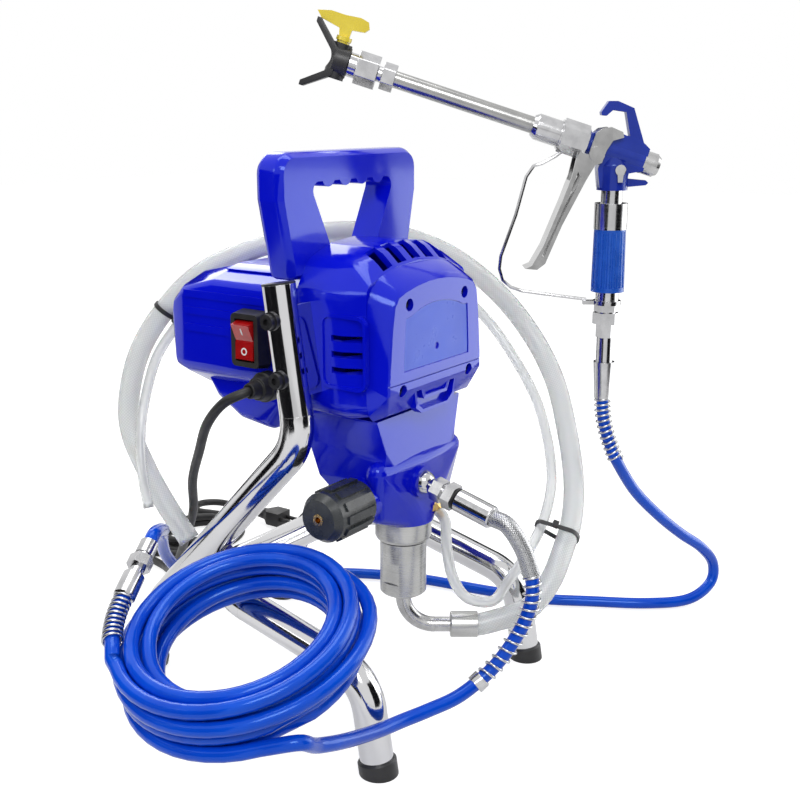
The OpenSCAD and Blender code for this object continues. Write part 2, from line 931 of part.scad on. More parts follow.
module carry_handle() {
  color(blue)
    difference() {
      hull() {
        discs(handle_y, handle_ring, 4);
        discs(handle_y + 4, handle_ring, 1);
        discs(handle_y + 7, handle_ring);
        discs(handle_y + handle_depth - 7, handle_ring);
        discs(handle_y + handle_depth - 4, handle_ring, 1);
        discs(handle_y + handle_depth - disc_t, handle_ring, 4);
      }
      slab(handle_y - 2, handle_depth + 4)
        handle_opening();
      // seats on the two housings
      gear_shell_outer();
      motor_outer();
      roof_panel();
      for (side = [-1, 1])
        upright_bar(side, tube_d + 0.4);
    }
}

// ---------- drive ----------
gear_dist = gear_mod * (pinion_teeth + gear_teeth) / 2;
gear_z = motor_z - gear_dist;
crank_d = 12;                             // crank shaft
crank_throw = 8;                          // crank pin offset
gear_y = 88;                              // front face of the gears
gear_w = 8;

module gear2d(teeth, mod, turn = 0) {
  r = mod * teeth / 2;
  union() {
    circle(r = r - 1.25 * mod, $fn = 60);
    for (i = [0 : teeth - 1])
      rotate([0, 0, i * 360 / teeth + turn])
        polygon([[r - 1.6 * mod, -0.8 * mod], [r, -0.7 * mod], [r + 0.85 * mod, -0.35 * mod],
          [r + 0.85 * mod, 0.35 * mod], [r, 0.7 * mod], [r - 1.6 * mod, 0.8 * mod]]);
  }
}

module motor_rotor() {
  color(steel)
    translate([0, 0, motor_z]) {
      // shaft from pinion to rear bearing
      translate([0, gear_y - 2, 0])
        rotate([-90, 0, 0])
          cylinder(d = shaft_d, h = motor_back - 14 - gear_y);
      // pinion
      translate([0, gear_y, 0])
        rotate([-90, 0, 0])
          linear_extrude(gear_w + 2)
            gear2d(pinion_teeth, gear_mod, 180 / pinion_teeth + 90);
      // armature
      translate([0, house_back + 30, 0])
        rotate([-90, 0, 0])
          cylinder(d = 50, h = 54);
      // commutator
      translate([0, house_back + 16, 0])
        rotate([-90, 0, 0])
          cylinder(d = 26, h = 10);
      // fan: hub and blades
      translate([0, house_back + 94, 0])
        rotate([-90, 0, 0]) {
          cylinder(d = 26, h = 16);
          cylinder(d = fan_d - 8, h = 2);
          for (i = [0 : 8])
            rotate([0, 0, i * 40])
              translate([8, -1, 0])
                cube([fan_d / 2 - 8, 2, 15]);
        }
    }
}

module drive_gear() {
  color(steel)
    translate([0, gear_y, gear_z])
      rotate([-90, 0, 0]) {
        difference() {
          linear_extrude(gear_w)
            gear2d(gear_teeth, gear_mod, 90);
          for (i = [0 : 5])
            rotate([0, 0, i * 60 + 30])
              translate([12.6, 0, -cut])
                cylinder(d = 4.6, h = gear_w + 2 * cut);
        }
        cylinder(d = crank_d, h = house_back - gear_y + 2);
        translate([0, 0, -14])
          cylinder(d = 20, h = 14);
        // crank disc and crank pin
        translate([0, 0, -20])
          cylinder(d = 30, h = 6.1);
        translate([0, crank_throw, -32])
          cylinder(d = 9, h = 12.1);
      }
}

// ---------- pump ----------
flange_h = 17;
seal_h = 1.4;
module pump_flange() {
  color(steel)
    translate([0, pump_y, block_low - flange_h])
      difference() {
        union() {
          cylinder(d1 = flange_d - 3, d2 = flange_d, h = 3);
          translate([0, 0, 3])
            cylinder(d = flange_d, h = flange_h - 3);
        }
        translate([0, 0, -cut])
          cylinder(d = 24, h = flange_h + 2 * cut);
      }
}

module pump_seal() {
  color(black)
    translate([0, pump_y, block_low - flange_h - seal_h])
      difference() {
        cylinder(d = cylinder_d + 1.6, h = seal_h);
        translate([0, 0, -cut])
          cylinder(d = 24, h = seal_h + 2 * cut);
      }
}

module pump_cylinder() {
  top = block_low - flange_h - seal_h;
  color(steel)
    difference() {
      union() {
        translate([0, pump_y, cylinder_low + 1.5])
          cylinder(d = cylinder_d, h = top - cylinder_low - 1.5);
        translate([0, pump_y, cylinder_low])
          cylinder(d1 = cylinder_d - 3, d2 = cylinder_d, h = 1.5);
        translate([0, pump_y, cylinder_low - 3])
          cylinder(d = 24, h = 3.1);
      }
      translate([0, pump_y, cylinder_low + 14])
        cylinder(d = 24, h = 80);
      translate([0, pump_y, cylinder_low - 4])
        cylinder(d = elbow_d, h = 30);
      // wrench flats
      for (s = [-1, 1])
        translate([s * (cylinder_d / 2 + 3.4), pump_y, cylinder_low + 20])
          cube([10, 60, 18], center = true);
    }
}

elbow_drop = 6;                           // straight part of the elbow under the cylinder
elbow_run = 13;                           // straight part towards the ferrule
ferrule_d = 21.5;
ferrule_len = 23;
intake_yaw = -55;                         // direction of the intake, seen from above
intake_z = cylinder_low - 3 - elbow_drop - elbow_r + 4;

module intake_at() {
  translate([0, pump_y, cylinder_low + 4])
    rotate([0, 0, intake_yaw])
      rotate([0, 180, 0])
        rotate([0, 0, 180])
          children();
}

module inlet_elbow() {
  color(steel)
    intake_at() {
      bent_tube([[elbow_drop + 3 + 4 - 4, 0, 90, elbow_r], [elbow_run + 8, 0, 0, 0]], elbow_d, elbow_d - 3);
      translate([0, 0, 7.1])
        difference() {
          cylinder(d = elbow_d + 4, h = 1.9);
          translate([0, 0, -cut])
            cylinder(d = elbow_d - 1, h = 4);
        }
    }
}

module elbow_end() {
  translate([0, pump_y, cylinder_low + 4 - (elbow_drop + 3) - elbow_r])
    rotate([0, 0, intake_yaw])
      rotate([0, 90, 0])
        translate([0, 0, elbow_r + elbow_run])
          children();
}

module suction_ferrule() {
  color(steel)
    elbow_end()
      difference() {
        union() {
          cylinder(d1 = ferrule_d - 1.5, d2 = ferrule_d, h = 1);
          translate([0, 0, 1])
            cylinder(d = ferrule_d, h = ferrule_len - 1);
        }
        translate([0, 0, -cut])
          cylinder(d = elbow_d, h = 12);
        translate([0, 0, 10])
          cylinder(d = suction_d - 2, h = ferrule_len);
      }
}

module return_fitting() {
  color([0.8, 0.6, 0.3])
    translate([return_x, return_y0, return_z])
      rotate([180 - 40, 0, 0]) {
        translate([0, 0, -8])
          cylinder(d = 8, h = 16);
        translate([0, 0, 3])
          hex(11, 4);
        translate([0, 0, 7])
          cylinder(d = 5, h = 8);
      }
}

// ---------- outlet ----------
outlet_pitch = 15;                        // the outlet fitting points forward and a little down
module outlet_at() {
  translate([out_x, 33, outlet_z])
    rotate([90 + outlet_pitch, 0, 0])
      children();
}

module outlet_fitting() {
  color(steel) {
    translate([out_x, 32, outlet_z])
      rotate([-90, 0, 0])
        cylinder(d = port_d, h = 14);
    outlet_at() {
      sphere(d = ball_d);
      cylinder(d = 12, h = 14);
      translate([0, 0, 11])
        hex(17, 9);
      translate([0, 0, 20])
        cylinder(d = 13, h = 4);
      translate([0, 0, 23])
        hex(19, 8);
    }
  }
}

module outlet_seal() {
  color(black)
    outlet_at()
      translate([0, 0, 31])
        cylinder(d = 17.5, h = 1.6);
}

out_ferrule_len = 33;
module outlet_ferrule() {
  color(steel)
    outlet_at()
      translate([0, 0, 32.6]) {
        cylinder(d1 = 15.5, d2 = 18, h = 1.5);
        translate([0, 0, 1.5])
          cylinder(d = 18, h = out_ferrule_len - 3);
        translate([0, 0, out_ferrule_len - 1.5])
          cylinder(d1 = 18, d2 = 16.4, h = 1.5);
      }
}

// End of the outlet ferrule: start of the braided hose
out_axis = [0, -cos(outlet_pitch), -sin(outlet_pitch)];
out_end = [out_x, 33, outlet_z] + (32.6 + out_ferrule_len) * out_axis;
braid_route = [out_end, out_end + 14 * out_axis, [-4, -55, 154], [-2, -62, 134]];
guard_route = [[-2, -62, 134], [-4, -64, 118], [-8, -62, 102], [-16, -57, 86], [-27, -50, 70], [-40, -42, 58]];
braid_path = smooth(braid_route, 2);
guard_path = smooth(guard_route, 2);

module outlet_braid() {
  color(steel)
    tube(braid_path, hose_d / 2 + 1.4, 10, out_axis, unit([0, -5, -18]));
}

module outlet_spring() {
  color(steel)
    tube(wound(guard_path, hose_d / 2 + spring_wire / 2 + 0.2, 13), spring_wire / 2, 6);
}

module outlet_clamp() {
  p = guard_path[len(guard_path) - 1];
  q = guard_path[len(guard_path) - 2];
  color(steel)
    tube([p - 1 * unit(p - q), p + 7 * unit(p - q)], hose_d / 2 + 2.2, 16);
}

// ---------- coil ----------
coil_n = unit([-0.32, -0.016, 0.947]);     // axis of the coil, which leans on the left rail
coil_a = unit(cross(coil_n, [0, 0, 1]));
coil_b = cross(coil_n, coil_a);
coil_c = [-178, 67, 102];                 // centre of the lowest layer
coil_start = 132;                         // angle where the hose comes in
coil_cols = 2;                            // steps of one pitch between inner and outer turns

// Triangle wave between the outer and the inner turns, one reversal each 2.5 turns
function coil_rad(t) =
  let (m = (t + 0.25) % 5, d = m < 2.5 ? m - 0.25 : 4.75 - m)
    coil_r + coil_pitch * (coil_cols - d);
// Height climbs one layer in the half turn where the spiral reverses
function coil_h(t) =
  let (k = floor((t + 0.5) / 2.5), f = (t + 0.5) % 2.5)
    coil_pitch * 1.02 * (t < 2 ? 0 : (k - 1 + (f < 0.5 ? (1 - cos(360 * f)) / 2 : 1)));
function coil_pt(t) =
  let (a = coil_start - 360 * t)
    coil_c + coil_h(t) * coil_n + coil_rad(t) * (cos(a) * coil_a + sin(a) * coil_b);
function coil_dir(t) = unit(coil_pt(t + 0.002) - coil_pt(t - 0.002));
coil_steps = round(coil_turns * 24);
coil_path = [for (i = [0 : coil_steps]) coil_pt(coil_turns * i / coil_steps)];
coil_in = unit(coil_path[1] - coil_path[0]);
coil_out = unit(coil_path[coil_steps] - coil_path[coil_steps - 1]);
coil_all = [coil_path[0] - hose_d * coil_in, each coil_path, coil_path[coil_steps] + hose_d * coil_out];
echo("hose_coil least gap", least_gap(coil_path, hose_d, 8), "length", coil_turns * 2 * PI * (coil_r + coil_pitch));

module hose_coil() {
  color(blue)
    tube(coil_all, hose_d / 2, 6);
}

// Hose from the outlet to the coil, inside its spring at first
lead_end = coil_all[0];
lead_route = [each guard_route, [-62, -34, 50], [-86, -24, 47], [-108, -17, 47], [-132, -14, 50], [-158, -14, 57],
  [-184, -15, 66], [-207, -14, 75], lead_end - 18 * coil_in, lead_end];
module paint_hose() {
  color(blue) {
    tube(smooth(lead_route, 2), hose_d / 2, 10, unit([0, -5, -18]), coil_in);
    tube(tail_path, hose_d / 2, 8, coil_out);
  }
}

// End of the coil: the hose leaves along the outside of the last turn
cend = coil_all[len(coil_all) - 1];
function tail_pt(u) =
  let (a = coil_start - 360 * (coil_turns + u), r = coil_rad(coil_turns) + 40 * u)
    coil_c + (coil_h(coil_turns) + 90 * u) * coil_n + r * (cos(a) * coil_a + sin(a) * coil_b);
tail_route = [cend, for (i = [0 : 5]) tail_pt(0.035 + i * 0.016)];
tail_path = smooth(tail_route, 2);
tail_n = len(tail_path) - 1;
tail_end = tail_path[tail_n];
tail_dir = unit(tail_end - tail_path[tail_n - 1]);
fer_len = 20;                             // ferrule at the end of the coil
module along(p, d) {
  translate(p)
    rotate([0, acos(d[2] / norm(d)), atan2(d[1], d[0])])
      children();
}

module coil_spring() {
  color(steel)
    tube(wound([for (i = [3 : tail_n]) tail_path[i]], hose_d / 2 + spring_wire / 2 + 0.2, 10), spring_wire / 2, 6);
}

module coil_fitting() {
  color(steel)
    along(tail_end, tail_dir) {
      cylinder(d1 = 14.5, d2 = 16.4, h = 1);
      translate([0, 0, 1])
        cylinder(d = 16.4, h = fer_len - 1);
      translate([0, 0, fer_len])
        cylinder(d = hose_d + 0.6, h = 8);
      translate([0, 0, fer_len + 7.9])
        hex(16, 9);
      translate([0, 0, fer_len + 16.8])
        cylinder(d = 12, h = 3);
      translate([0, 0, fer_len + 19.7])
        cylinder(d = 14, h = 12);
    }
}

// ---------- whip hose ----------
gun_o = [189, -26, 0];                    // foot of the gun's swivel axis
gun_yaw = 125;                            // direction of the pole, seen from above
function gun_pt(u, z) = [gun_o[0] + u * cos(gun_yaw), gun_o[1] + u * sin(gun_yaw), z];
whip_start = tail_end + (fer_len + 31.7) * tail_dir;
whip_top = 228;                           // hose end, at the lower end of its swivel fitting
wspring_route = [gun_pt(0, whip_top), gun_pt(-1, 214), gun_pt(-4, 199), gun_pt(-9, 184), gun_pt(-15, 170)];
whip_route = [whip_start, whip_start + 12 * tail_dir, [-128, 202, 152], [-102, 232, 134], [-70, 264, 98],
  [-40, 278, 66], [-10, 290, 34], [30, 298, 12], [70, 300, 6], [110, 290, 6], [142, 262, 6], [170, 218, 6],
  [190, 166, 6], [202, 104, 6], [216, 46, 6], [240, 0, 6], [268, -48, 6],
  [298, -78, 7], [324, -90, 18], [328, -90, 38], [308, -84, 60], [282, -72, 80], [254, -60, 104],
  [226, -46, 134], each [for (i = [4 : -1 : 0]) wspring_route[i]]];
whip_path = smooth(whip_route, 2);
module whip_hose() {
  color(blue)
    tube(whip_path, hose_d / 2, 10, tail_dir, [0, 0, 1]);
}

wspring_path = smooth(wspring_route, 3);
module whip_spring() {
  color(steel)
    tube(wound(wspring_path, hose_d / 2 + spring_wire / 2 + 0.2, 12), spring_wire / 2, 6);
}

swivel_d = 8;                             // swivel spigot
swivel_z = 295;                           // lower face of the gun's swivel nut
module whip_fitting() {
  color(steel)
    translate([gun_o[0], gun_o[1], 0]) {
      translate([0, 0, whip_top])
        cylinder(d1 = 14.5, d2 = 18.4, h = 33);
      translate([0, 0, whip_top + 33])
        cylinder(d = 14.6, h = 24);
      translate([0, 0, whip_top + 55])
        hex(14.5, swivel_z - whip_top - 55 - 0.4);
      translate([0, 0, swivel_z - 2])
        cylinder(d = swivel_d, h = 14);
    }
}

// ---------- clear hoses ----------
sx = cos(intake_yaw);
sy = sin(intake_yaw);
intake_axis = [sx, sy, 0];
elbow_z = cylinder_low + 4 - (elbow_drop + 3) - elbow_r;
suction_start = [0, pump_y, elbow_z] + (elbow_r + elbow_run + 10) * intake_axis;
suction_route = [suction_start, suction_start + 16 * intake_axis, [60, -22, 70], [74, -30, 80], [89, -34, 94],
  [110, -32, 110], [137, -26, 128], [167, -12, 154], [198, 12, 190], [222, 40, 232], [230, 74, 274],
  [214, 106, 314], [178, 135, 347], [132, 162, 366], [88, 184, 371], [54, 208, 368], [24, 238, 357],
  [-2, 274, 336], [-20, 302, 304], [-36, 319, 268], [-47, 324, 230], [-52, 320, 198], [-51, 304, 165],
  [-47, 284, 132], [-42, 262, 102]];
module suction_hose() {
  color([0.9, 0.9, 0.9])
    tube(suction_path, suction_d / 2, 12, intake_axis);
}

return_start = [return_x, return_y0, return_z] + 15 * [0, -sin(40), -cos(40)];
return_route = [return_start - 7 * [0, -sin(40), -cos(40)], return_start + 4 * [0, -sin(40), -cos(40)], [13, 24, 132],
  [16, 20, 106], [26, 12, 86], [44, -2, 80], [62, -6, 92], [84, -10, 108], [110, -10, 126], [132, -6, 144],
  [151, 2, 162], [171, 18, 188], [188, 40, 218], [197, 68, 250], [196, 98, 284], [176, 130, 318],
  [142, 162, 344], [112, 184, 356], [96, 195, 362], [66, 219, 362], [36, 250, 350], [11, 281, 328],
  [-7, 292, 298], [-31, 303, 264], [-45, 308, 222], [-57, 302, 194], [-66, 292, 166], [-70, 282, 137]];
module return_hose() {
  color([0.9, 0.9, 0.9])
    tube(return_path, return_d / 2, 8);
}

suction_path = smooth(suction_route, 2);
return_path = smooth(return_route, 2);

// A tie round both clear hoses where suction path point i passes
module tie(i) {
  c = suction_path[i];
  t = unit(suction_path[i + 1] - suction_path[i - 1]);
  near = min([for (q = return_path) norm(q - c)]);
  q = [for (q = return_path) if (norm(q - c) == near) q][0];
  w = q - c - ((q - c) * t) * t;
  u = unit(w);
  v = cross(t, u);
  multmatrix([[u[0], v[0], t[0], c[0]], [u[1], v[1], t[1], c[1]], [u[2], v[2], t[2], c[2]]]) {
    difference() {
      tie_band(norm(w), 1.2, 2);
      tie_band(norm(w), 0.1, 4);
    }
    translate([norm(w) / 2, suction_d / 2 - 1.6, -3])
      cube([5, 4, 6]);
  }
}

module tie_band(w, grow, h) {
  hull() {
    translate([0, 0, -h])
      cylinder(r = suction_d / 2 + grow, h = 2 * h, $fn = 24);
    translate([w, 0, -h])
      cylinder(r = return_d / 2 + grow, h = 2 * h, $fn = 16);
  }
}

module hose_ties() {
  color(black) {
    tie(11);
    tie(36);
  }
}

// ---------- switch and cord ----------
module switch_at() {
  translate([-motor_hw, switch_y, switch_z])
    rotate([0, -90, 0])
      children();
}

module switch_body() {
  color(black)
    switch_at()
      difference() {
        union() {
          hull()
            for (a = [-1, 1])
              for (b = [-1, 1])
                translate([a * (rocker_h / 2 + 1), b * (rocker_w / 2 + 1), 2.6])
                  cylinder(r1 = 6, r2 = 4, h = 12, $fn = 16);
          translate([-(rocker_h + 4.8) / 2, -(rocker_w + 4.8) / 2, -6])
            cube([rocker_h + 4.8, rocker_w + 4.8, 9]);
        }
        translate([-rocker_h / 2 - 0.8, -rocker_w / 2 - 0.8, -3])
          cube([rocker_h + 1.6, rocker_w + 1.6, 30]);
        translate([0, rocker_w / 2 + 4, rocker_z])
          rotate([90, 0, 0])
            cylinder(d = 3 + 2 * run_gap, h = rocker_w + 8);
      }
}
rocker_z = 7;                             // rocker pivot above the housing side

module switch_rocker() {
  color([0.8, 0.05, 0.05])
    switch_at()
      translate([0, 0, rocker_z])
        rotate([90, 0, 0]) {
          translate([0, 0, -rocker_w / 2])
            linear_extrude(rocker_w)
              polygon([[-rocker_h / 2, 1], [-rocker_h / 2 + 1, 8.5], [-2, 8], [0, 7.4], [2, 8.4],
                [rocker_h / 2 - 3, 13], [rocker_h / 2 - 0.5, 5], [4, -3.5], [-4, -3.5]]);
          translate([0, 0, -rocker_w / 2 - 3])
            cylinder(d = 3, h = rocker_w + 6);
        }
}

module cord_gland() {
  color(black)
    translate([-motor_hw + 4, gland_y, gland_z])
      rotate([0, -90, 0])
        difference() {
          union() {
            translate([0, 0, -4])
              cylinder(d = 12, h = 12);
            translate([0, 0, 8])
              cylinder(d = 24, h = 9);
            translate([0, 0, 17])
              cylinder(d1 = 22, d2 = 18, h = 7);
            translate([0, 0, 24])
              cylinder(d1 = 15, d2 = 12, h = 9);
          }
          translate([0, 0, -cut - 4])
            cylinder(d = cord_d, h = 60);
        }
}

cord_start = [-motor_hw + 4 - 20, gland_y, gland_z];
cord_bundle_c = [150, 450, 0];             // bundle of the spare cord, on the floor behind the machine
bundle_r = 60;
bundle_pitch = 10.8;
bundle_turns = 3.5;
function bundle_pt(t) =
  let (a = 200 + 360 * t, f = t < 2 ? 0 : (t < 2.5 ? (1 - cos(360 * (t - 2))) / 2 : 1),
    r = bundle_r - bundle_pitch * (t < 2.25 ? t : 4.5 - t))
    cord_bundle_c + [r * cos(a), 0.8 * r * sin(a), cord_d / 2 + 0.2 + 8.8 * f];
bundle_path = [for (i = [0 : round(bundle_turns * 24)]) bundle_pt(i / 24)];
bun_n = len(bundle_path) - 1;
bun_in = unit(bundle_path[1] - bundle_path[0]);
bun_out = unit(bundle_path[bun_n] - bundle_path[bun_n - 1]);
bundle_all = [bundle_path[0] - cord_d * bun_in, each bundle_path, bundle_path[bun_n] + cord_d * bun_out];
echo("cord_bundle least gap", least_gap(bundle_path, cord_d, 8));
module cord_bundle() {
  color(black)
    tube(bundle_all, cord_d / 2, 6);
}

cord_route = [cord_start, cord_start + [-16, 2, -1], [-102, 156, 257], [-98, 178, 236], [-82, 204, 206],
  [-62, 234, 170], [-34, 264, 128], [-8, 302, 86], [25, 352, 36], [44, 384, 15], [60, 410, 7],
  bundle_all[0] - 22 * bun_in, bundle_all[0]];
module power_cord() {
  color(black) {
    tube(smooth(cord_route, 2), cord_d / 2, 8, [-1, 0, 0], bun_in);
    tube(smooth(plug_route, 2), cord_d / 2, 8, bun_out, plug_dir);
  }
}
plug_dir = [0, -1, 0];
plug_at = [232, 426, 12];
plug_route = [bundle_all[len(bundle_all) - 1], bundle_all[len(bundle_all) - 1] + 16 * bun_out, [199, 503, 12],
  [216, 506, 12], [229, 492, 12], [232, 466, 12], plug_at - 4 * plug_dir];

module power_plug() {
  color(black)
    along(plug_at - 4 * plug_dir, plug_dir) {
      cylinder(d1 = 11, d2 = 14, h = 14);
      hull() {
        translate([0, 0, 14])
          cylinder(d = 14, h = 1, $fn = 24);
        translate([-8, -11, 22])
          cube([16, 22, 18]);
      }
      for (s = [-1, 1])
        translate([0, s * 6, 40])
          cylinder(d = 4.6, h = 19);
    }
}

// ---------- gun ----------
module gun() {
  translate(gun_o)
    rotate([0, 0, gun_yaw])
      children();
}

barrel_d = 20;                            // barrel of the gun head
head_z = 441.5;                           // gun head axis above the floor, on the swivel axis
module head() {
  gun()
    translate([0, 0, head_z])
      rotate([0, 90 - head_tilt, 0])
        children();
}

trig = [16, 440];                         // trigger pivot (u, z)
lock = [-4, 427];                         // trigger lock pivot (u, z)
grip_low = 323.5;
grip_high = 377;

module gun_body() {
  color(blue)
    difference() {
      union() {
        head()
          translate([0, 0, -26])
            cylinder(d = barrel_d, h = 50);
        gun() {
          // head block
          plate(head_w)
            polygon([[26, 455], [12, 459], [5, 461], [-9, 455], [-17, 454], [-25, 448], [-29, 444],
              [-24, 426], [-12, 424], [-10, 412], [12, 412], [14, 428], [12, 434], [22, 440]]);
          // lower boss
          translate([0, 0, 410])
            cylinder(d = 26, h = 20);
          translate([0, 0, 430])
            cylinder(d1 = 26, d2 = 17, h = 8);
          // hanging hook
          plate(10)
            polygon([[12, 471.5], [12.5, 474], [6.3, 483], [-1.2, 483], [-14.8, 477.3], [-25, 447],
              [-14, 447], [-8.3, 474.1], [2.6, 475.7], [8, 471]]);
          plate(6)
            polygon([[-6, 420], [-28, 418], [-30, 416], [-28, 414], [-6, 412]]);
          // lug for the guard wire
          plate(6)
            polygon([[22, 446], [40, 452], [44, 446], [38, 440], [24, 440]]);
        }
      }
      gun() {
        translate([trig[0], 20, trig[1]])
          rotate([90, 0, 0])
            cylinder(d = trigger_pin_d + 2 * run_gap, h = 40);
        translate([lock[0], 20, lock[1]])
          rotate([90, 0, 0])
            cylinder(d = 4 + 2 * run_gap, h = 40);
        translate([0, 0, 400])
          cylinder(d = 12, h = 34);
      }
      head()
        translate([0, 0, -30])
          cylinder(d = 9, h = 60);
      // socket of the guard wire
      gun()
        translate([40.5, 0, 444])
          rotate([0, 110, 0])
            translate([0, 0, -6])
              cylinder(d = guard_wire, h = 12);
    }
}

module gun_rear_nut() {
  color(steel)
    head() {
      translate([0, 0, -40])
        cylinder(d1 = 15, d2 = 18, h = 3);
      translate([0, 0, -37])
        cylinder(d = 19.5, h = 10.9);
      translate([0, 0, -27])
        cylinder(d = 9, h = 8);
    }
}

module gun_grip() {
  color(blue)
    gun()
      difference() {
        translate([0, 0, grip_low])
          cylinder(d1 = grip_d + 1.5, d2 = grip_d, h = grip_high - grip_low);
        for (i = [0 : grip_flutes - 1])
          rotate([0, 0, i * 360 / grip_flutes])
            translate([grip_d / 2 + 1, 0, grip_low + 4])
              cylinder(d = 3, h = grip_high - grip_low - 6, $fn = 16);
        translate([0, 0, grip_low - 1])
          cylinder(d = 18, h = 80);
      }
}

module gun_sleeve() {
  color([0.9, 0.9, 0.9])
    gun() {
      // tube through the grip
      translate([0, 0, 312])
        cylinder(d = 18, h = 98);
      translate([0, 0, grip_high])
        cylinder(d = 28, h = 22);
      translate([0, 0, 405])
        cylinder(d = 12, h = 19);
      translate([0, 0, 315.5])
        cylinder(d = 20, h = grip_low - 315.5);
    }
}

module gun_swivel() {
  color(steel)
    gun()
      difference() {
        union() {
          translate([0, 0, swivel_z])
            hex(20.5, 10);
          translate([0, 0, swivel_z + 10])
            cylinder(d = 16, h = 1.5);
          translate([0, 0, swivel_z + 11])
            hex(19, 6);
        }
        translate([0, 0, swivel_z - 1])
          cylinder(d = swivel_d + 2 * run_gap, h = 14);
      }
}

module trigger() {
  color(steel)
    gun()
      difference() {
        union() {
          // side plates outside the barrel, cut clear of the pole nut
          difference() {
            for (s = [-1, 1])
              translate([0, s * (barrel_d / 2 + 1.6), 0])
                plate(2.6)
                  polygon([[33, 437], [24, 452], [12, 461], [4.5, 462], [-5, 458], [-6, 453.5],
                    [3, 451], [8, 443], [11.5, 433], [17, 431], [24, 419], [30, 424]]);
            translate([0, 0, head_z])
              rotate([0, 90 - head_tilt, 0])
                translate([0, 0, hex_s - 3])
                  cylinder(d = 31, h = 60);
          }
          // finger bar, open down the middle
          difference() {
            plate(barrel_d + 5.8)
              polygon([[33, 436.5], [28, 436], [25, 428], [24, 419], [43, 381], [56.2, 348.7],
                [62.9, 343.5], [73.3, 344.4], [67.4, 347], [58.4, 363.3], [43.4, 401.5],
                [36, 422]]);
            plate(barrel_d + 0.6)
              polygon([[45, 440], [10, 440], [10, 410], [26, 410], [31, 405], [34, 409]]);
            plate(40)
              polygon([[31, 426], [28, 421], [45, 385], [57, 355], [60, 354], [52, 372], [38, 405]]);
          }
          translate([trig[0], barrel_d / 2 + 4, trig[1]])
            rotate([90, 0, 0])
              cylinder(d = trigger_pin_d, h = barrel_d + 8);
          for (s = [-1, 1])
            translate([trig[0], s * (barrel_d / 2 + 3.5), trig[1]])
              rotate([90, 0, 0])
                cylinder(d = 13, h = 1.6, center = true);
        }
      }
}

module trigger_guard() {
  pts = [[41.5, 443.6], [49, 438], [60, 432], [67, 430], [73, 421], [81, 389], [93, 354], [94, 343], [91, 333],
    [84, 327], [74, 323.5], [40, 319], [18, 316.2]];
  color(steel)
    gun() {
      tube([for (p = smooth([for (q = pts) [q[0], 0, q[1]]], 1)) p], guard_wire / 2, 8);
      translate([0, 0, 312])
        difference() {
          union() {
            cylinder(d = 24, h = 3.5);
            translate([9, -3, 0])
              cube([12, 6, 3.5]);
          }
          translate([0, 0, -cut])
            cylinder(d = 18, h = 6);
        }
    }
}

module trigger_lock() {
  color(steel)
    gun()
      translate([lock[0], 0, lock[1]]) {
        translate([0, 15, 0])
          rotate([90, 0, 0])
            cylinder(d = 4, h = 26);
        translate([0, 15.4, 0])
          rotate([90, 0, 0])
            cylinder(d = 9, h = 2);
        translate([0, 14.4, 0])
          plate(2)
            polygon([[-3, 3], [3, 3], [2, -10], [-2, -10]]);
      }
}

hex_s = 24.4;                             // pole nut starts here along the head axis
module pole_nut() {
  color(steel)
    head()
      translate([0, 0, hex_s])
        difference() {
          union() {
            cylinder(d = 24, h = 1);
            translate([0, 0, 0.6])
              hex(25, 22);
            translate([0, 0, 22.6])
              cylinder(d = 25, h = 1.4);
            translate([0, 0, 24])
              cylinder(d = 22, h = 20);
            translate([0, 0, 44])
              cylinder(d1 = 22, d2 = 17, h = 4);
          }
          translate([0, 0, -cut])
            cylinder(d = pole_d, h = 60);
        }
}

pole_s = hex_s + 2;
pole_end = pole_s + pole_len + 40;
module pole_tube() {
  color(steel)
    head()
      difference() {
        translate([0, 0, pole_s])
          cylinder(d = pole_d, h = pole_len + 40);
        translate([0, 0, pole_s - 1])
          cylinder(d = 9, h = pole_len + 60);
      }
}

tip_s = pole_end - 3;
module tip_fitting() {
  color(steel)
    head()
      translate([0, 0, tip_s])
        difference() {
          union() {
            hex(20, 11);
            translate([0, 0, 11])
              cylinder(d = 13, h = 5);
            translate([0, 0, 15])
              hex(24, 18);
            translate([0, 0, 33])
              cylinder(d = 20, h = 7);
          }
          translate([0, 0, -1])
            cylinder(d = pole_d, h = 4);
          translate([0, 0, -1])
            cylinder(d = 6, h = 60);
        }
}

guard_s = tip_s + 40.4;                   // tip guard starts here
tip_axis = 9;                              // barrel of the tip above the guard's rear face
tip_bore = 11;                            // cross bore of the reversible tip
module tip_guard() {
  color(black)
    head()
      translate([0, 0, guard_s])
        difference() {
          union() {
            cylinder(d = 25, h = 12);
            // cross barrel, along local -X, which is up
            translate([15, 0, tip_axis])
              rotate([0, -90, 0])
                cylinder(d = 17, h = 29);
            for (s = [-1, 1])
              hull() {
                translate([s * -8, -10, 10])
                  cube([5, 20, 3], center = false);
                translate([s * -26 - 2, -7, 31])
                  cube([4, 14, 3]);
              }
          }
          translate([0, 0, -cut])
            cylinder(d = 8, h = 40);
          translate([20, 0, tip_axis])
            rotate([0, -90, 0])
              cylinder(d = tip_bore + 2 * run_gap, h = 60);
          // spray window
          translate([0, 0, 12])
            cylinder(d1 = 10, d2 = 30, h = 20);
        }
}

module tip_handle() {
  color([0.95, 0.85, 0.15])
    head()
      translate([0, 0, guard_s + tip_axis]) {
        translate([14, 0, 0])
          rotate([0, -90, 0])
            cylinder(d = tip_bore, h = 30);
        translate([-16, 0, 0])
          rotate([0, -90, 0])
            cylinder(d = 13, h = 3.4);
        plate(8)
          polygon([[-19, -4], [-26, -4.5], [-27.5, -15], [-31, -18], [-36, -16], [-37.5, -9],
            [-36, 4], [-36, 16], [-33, 27], [-28, 22], [-25, 6], [-19, 4.5]]);
      }
}

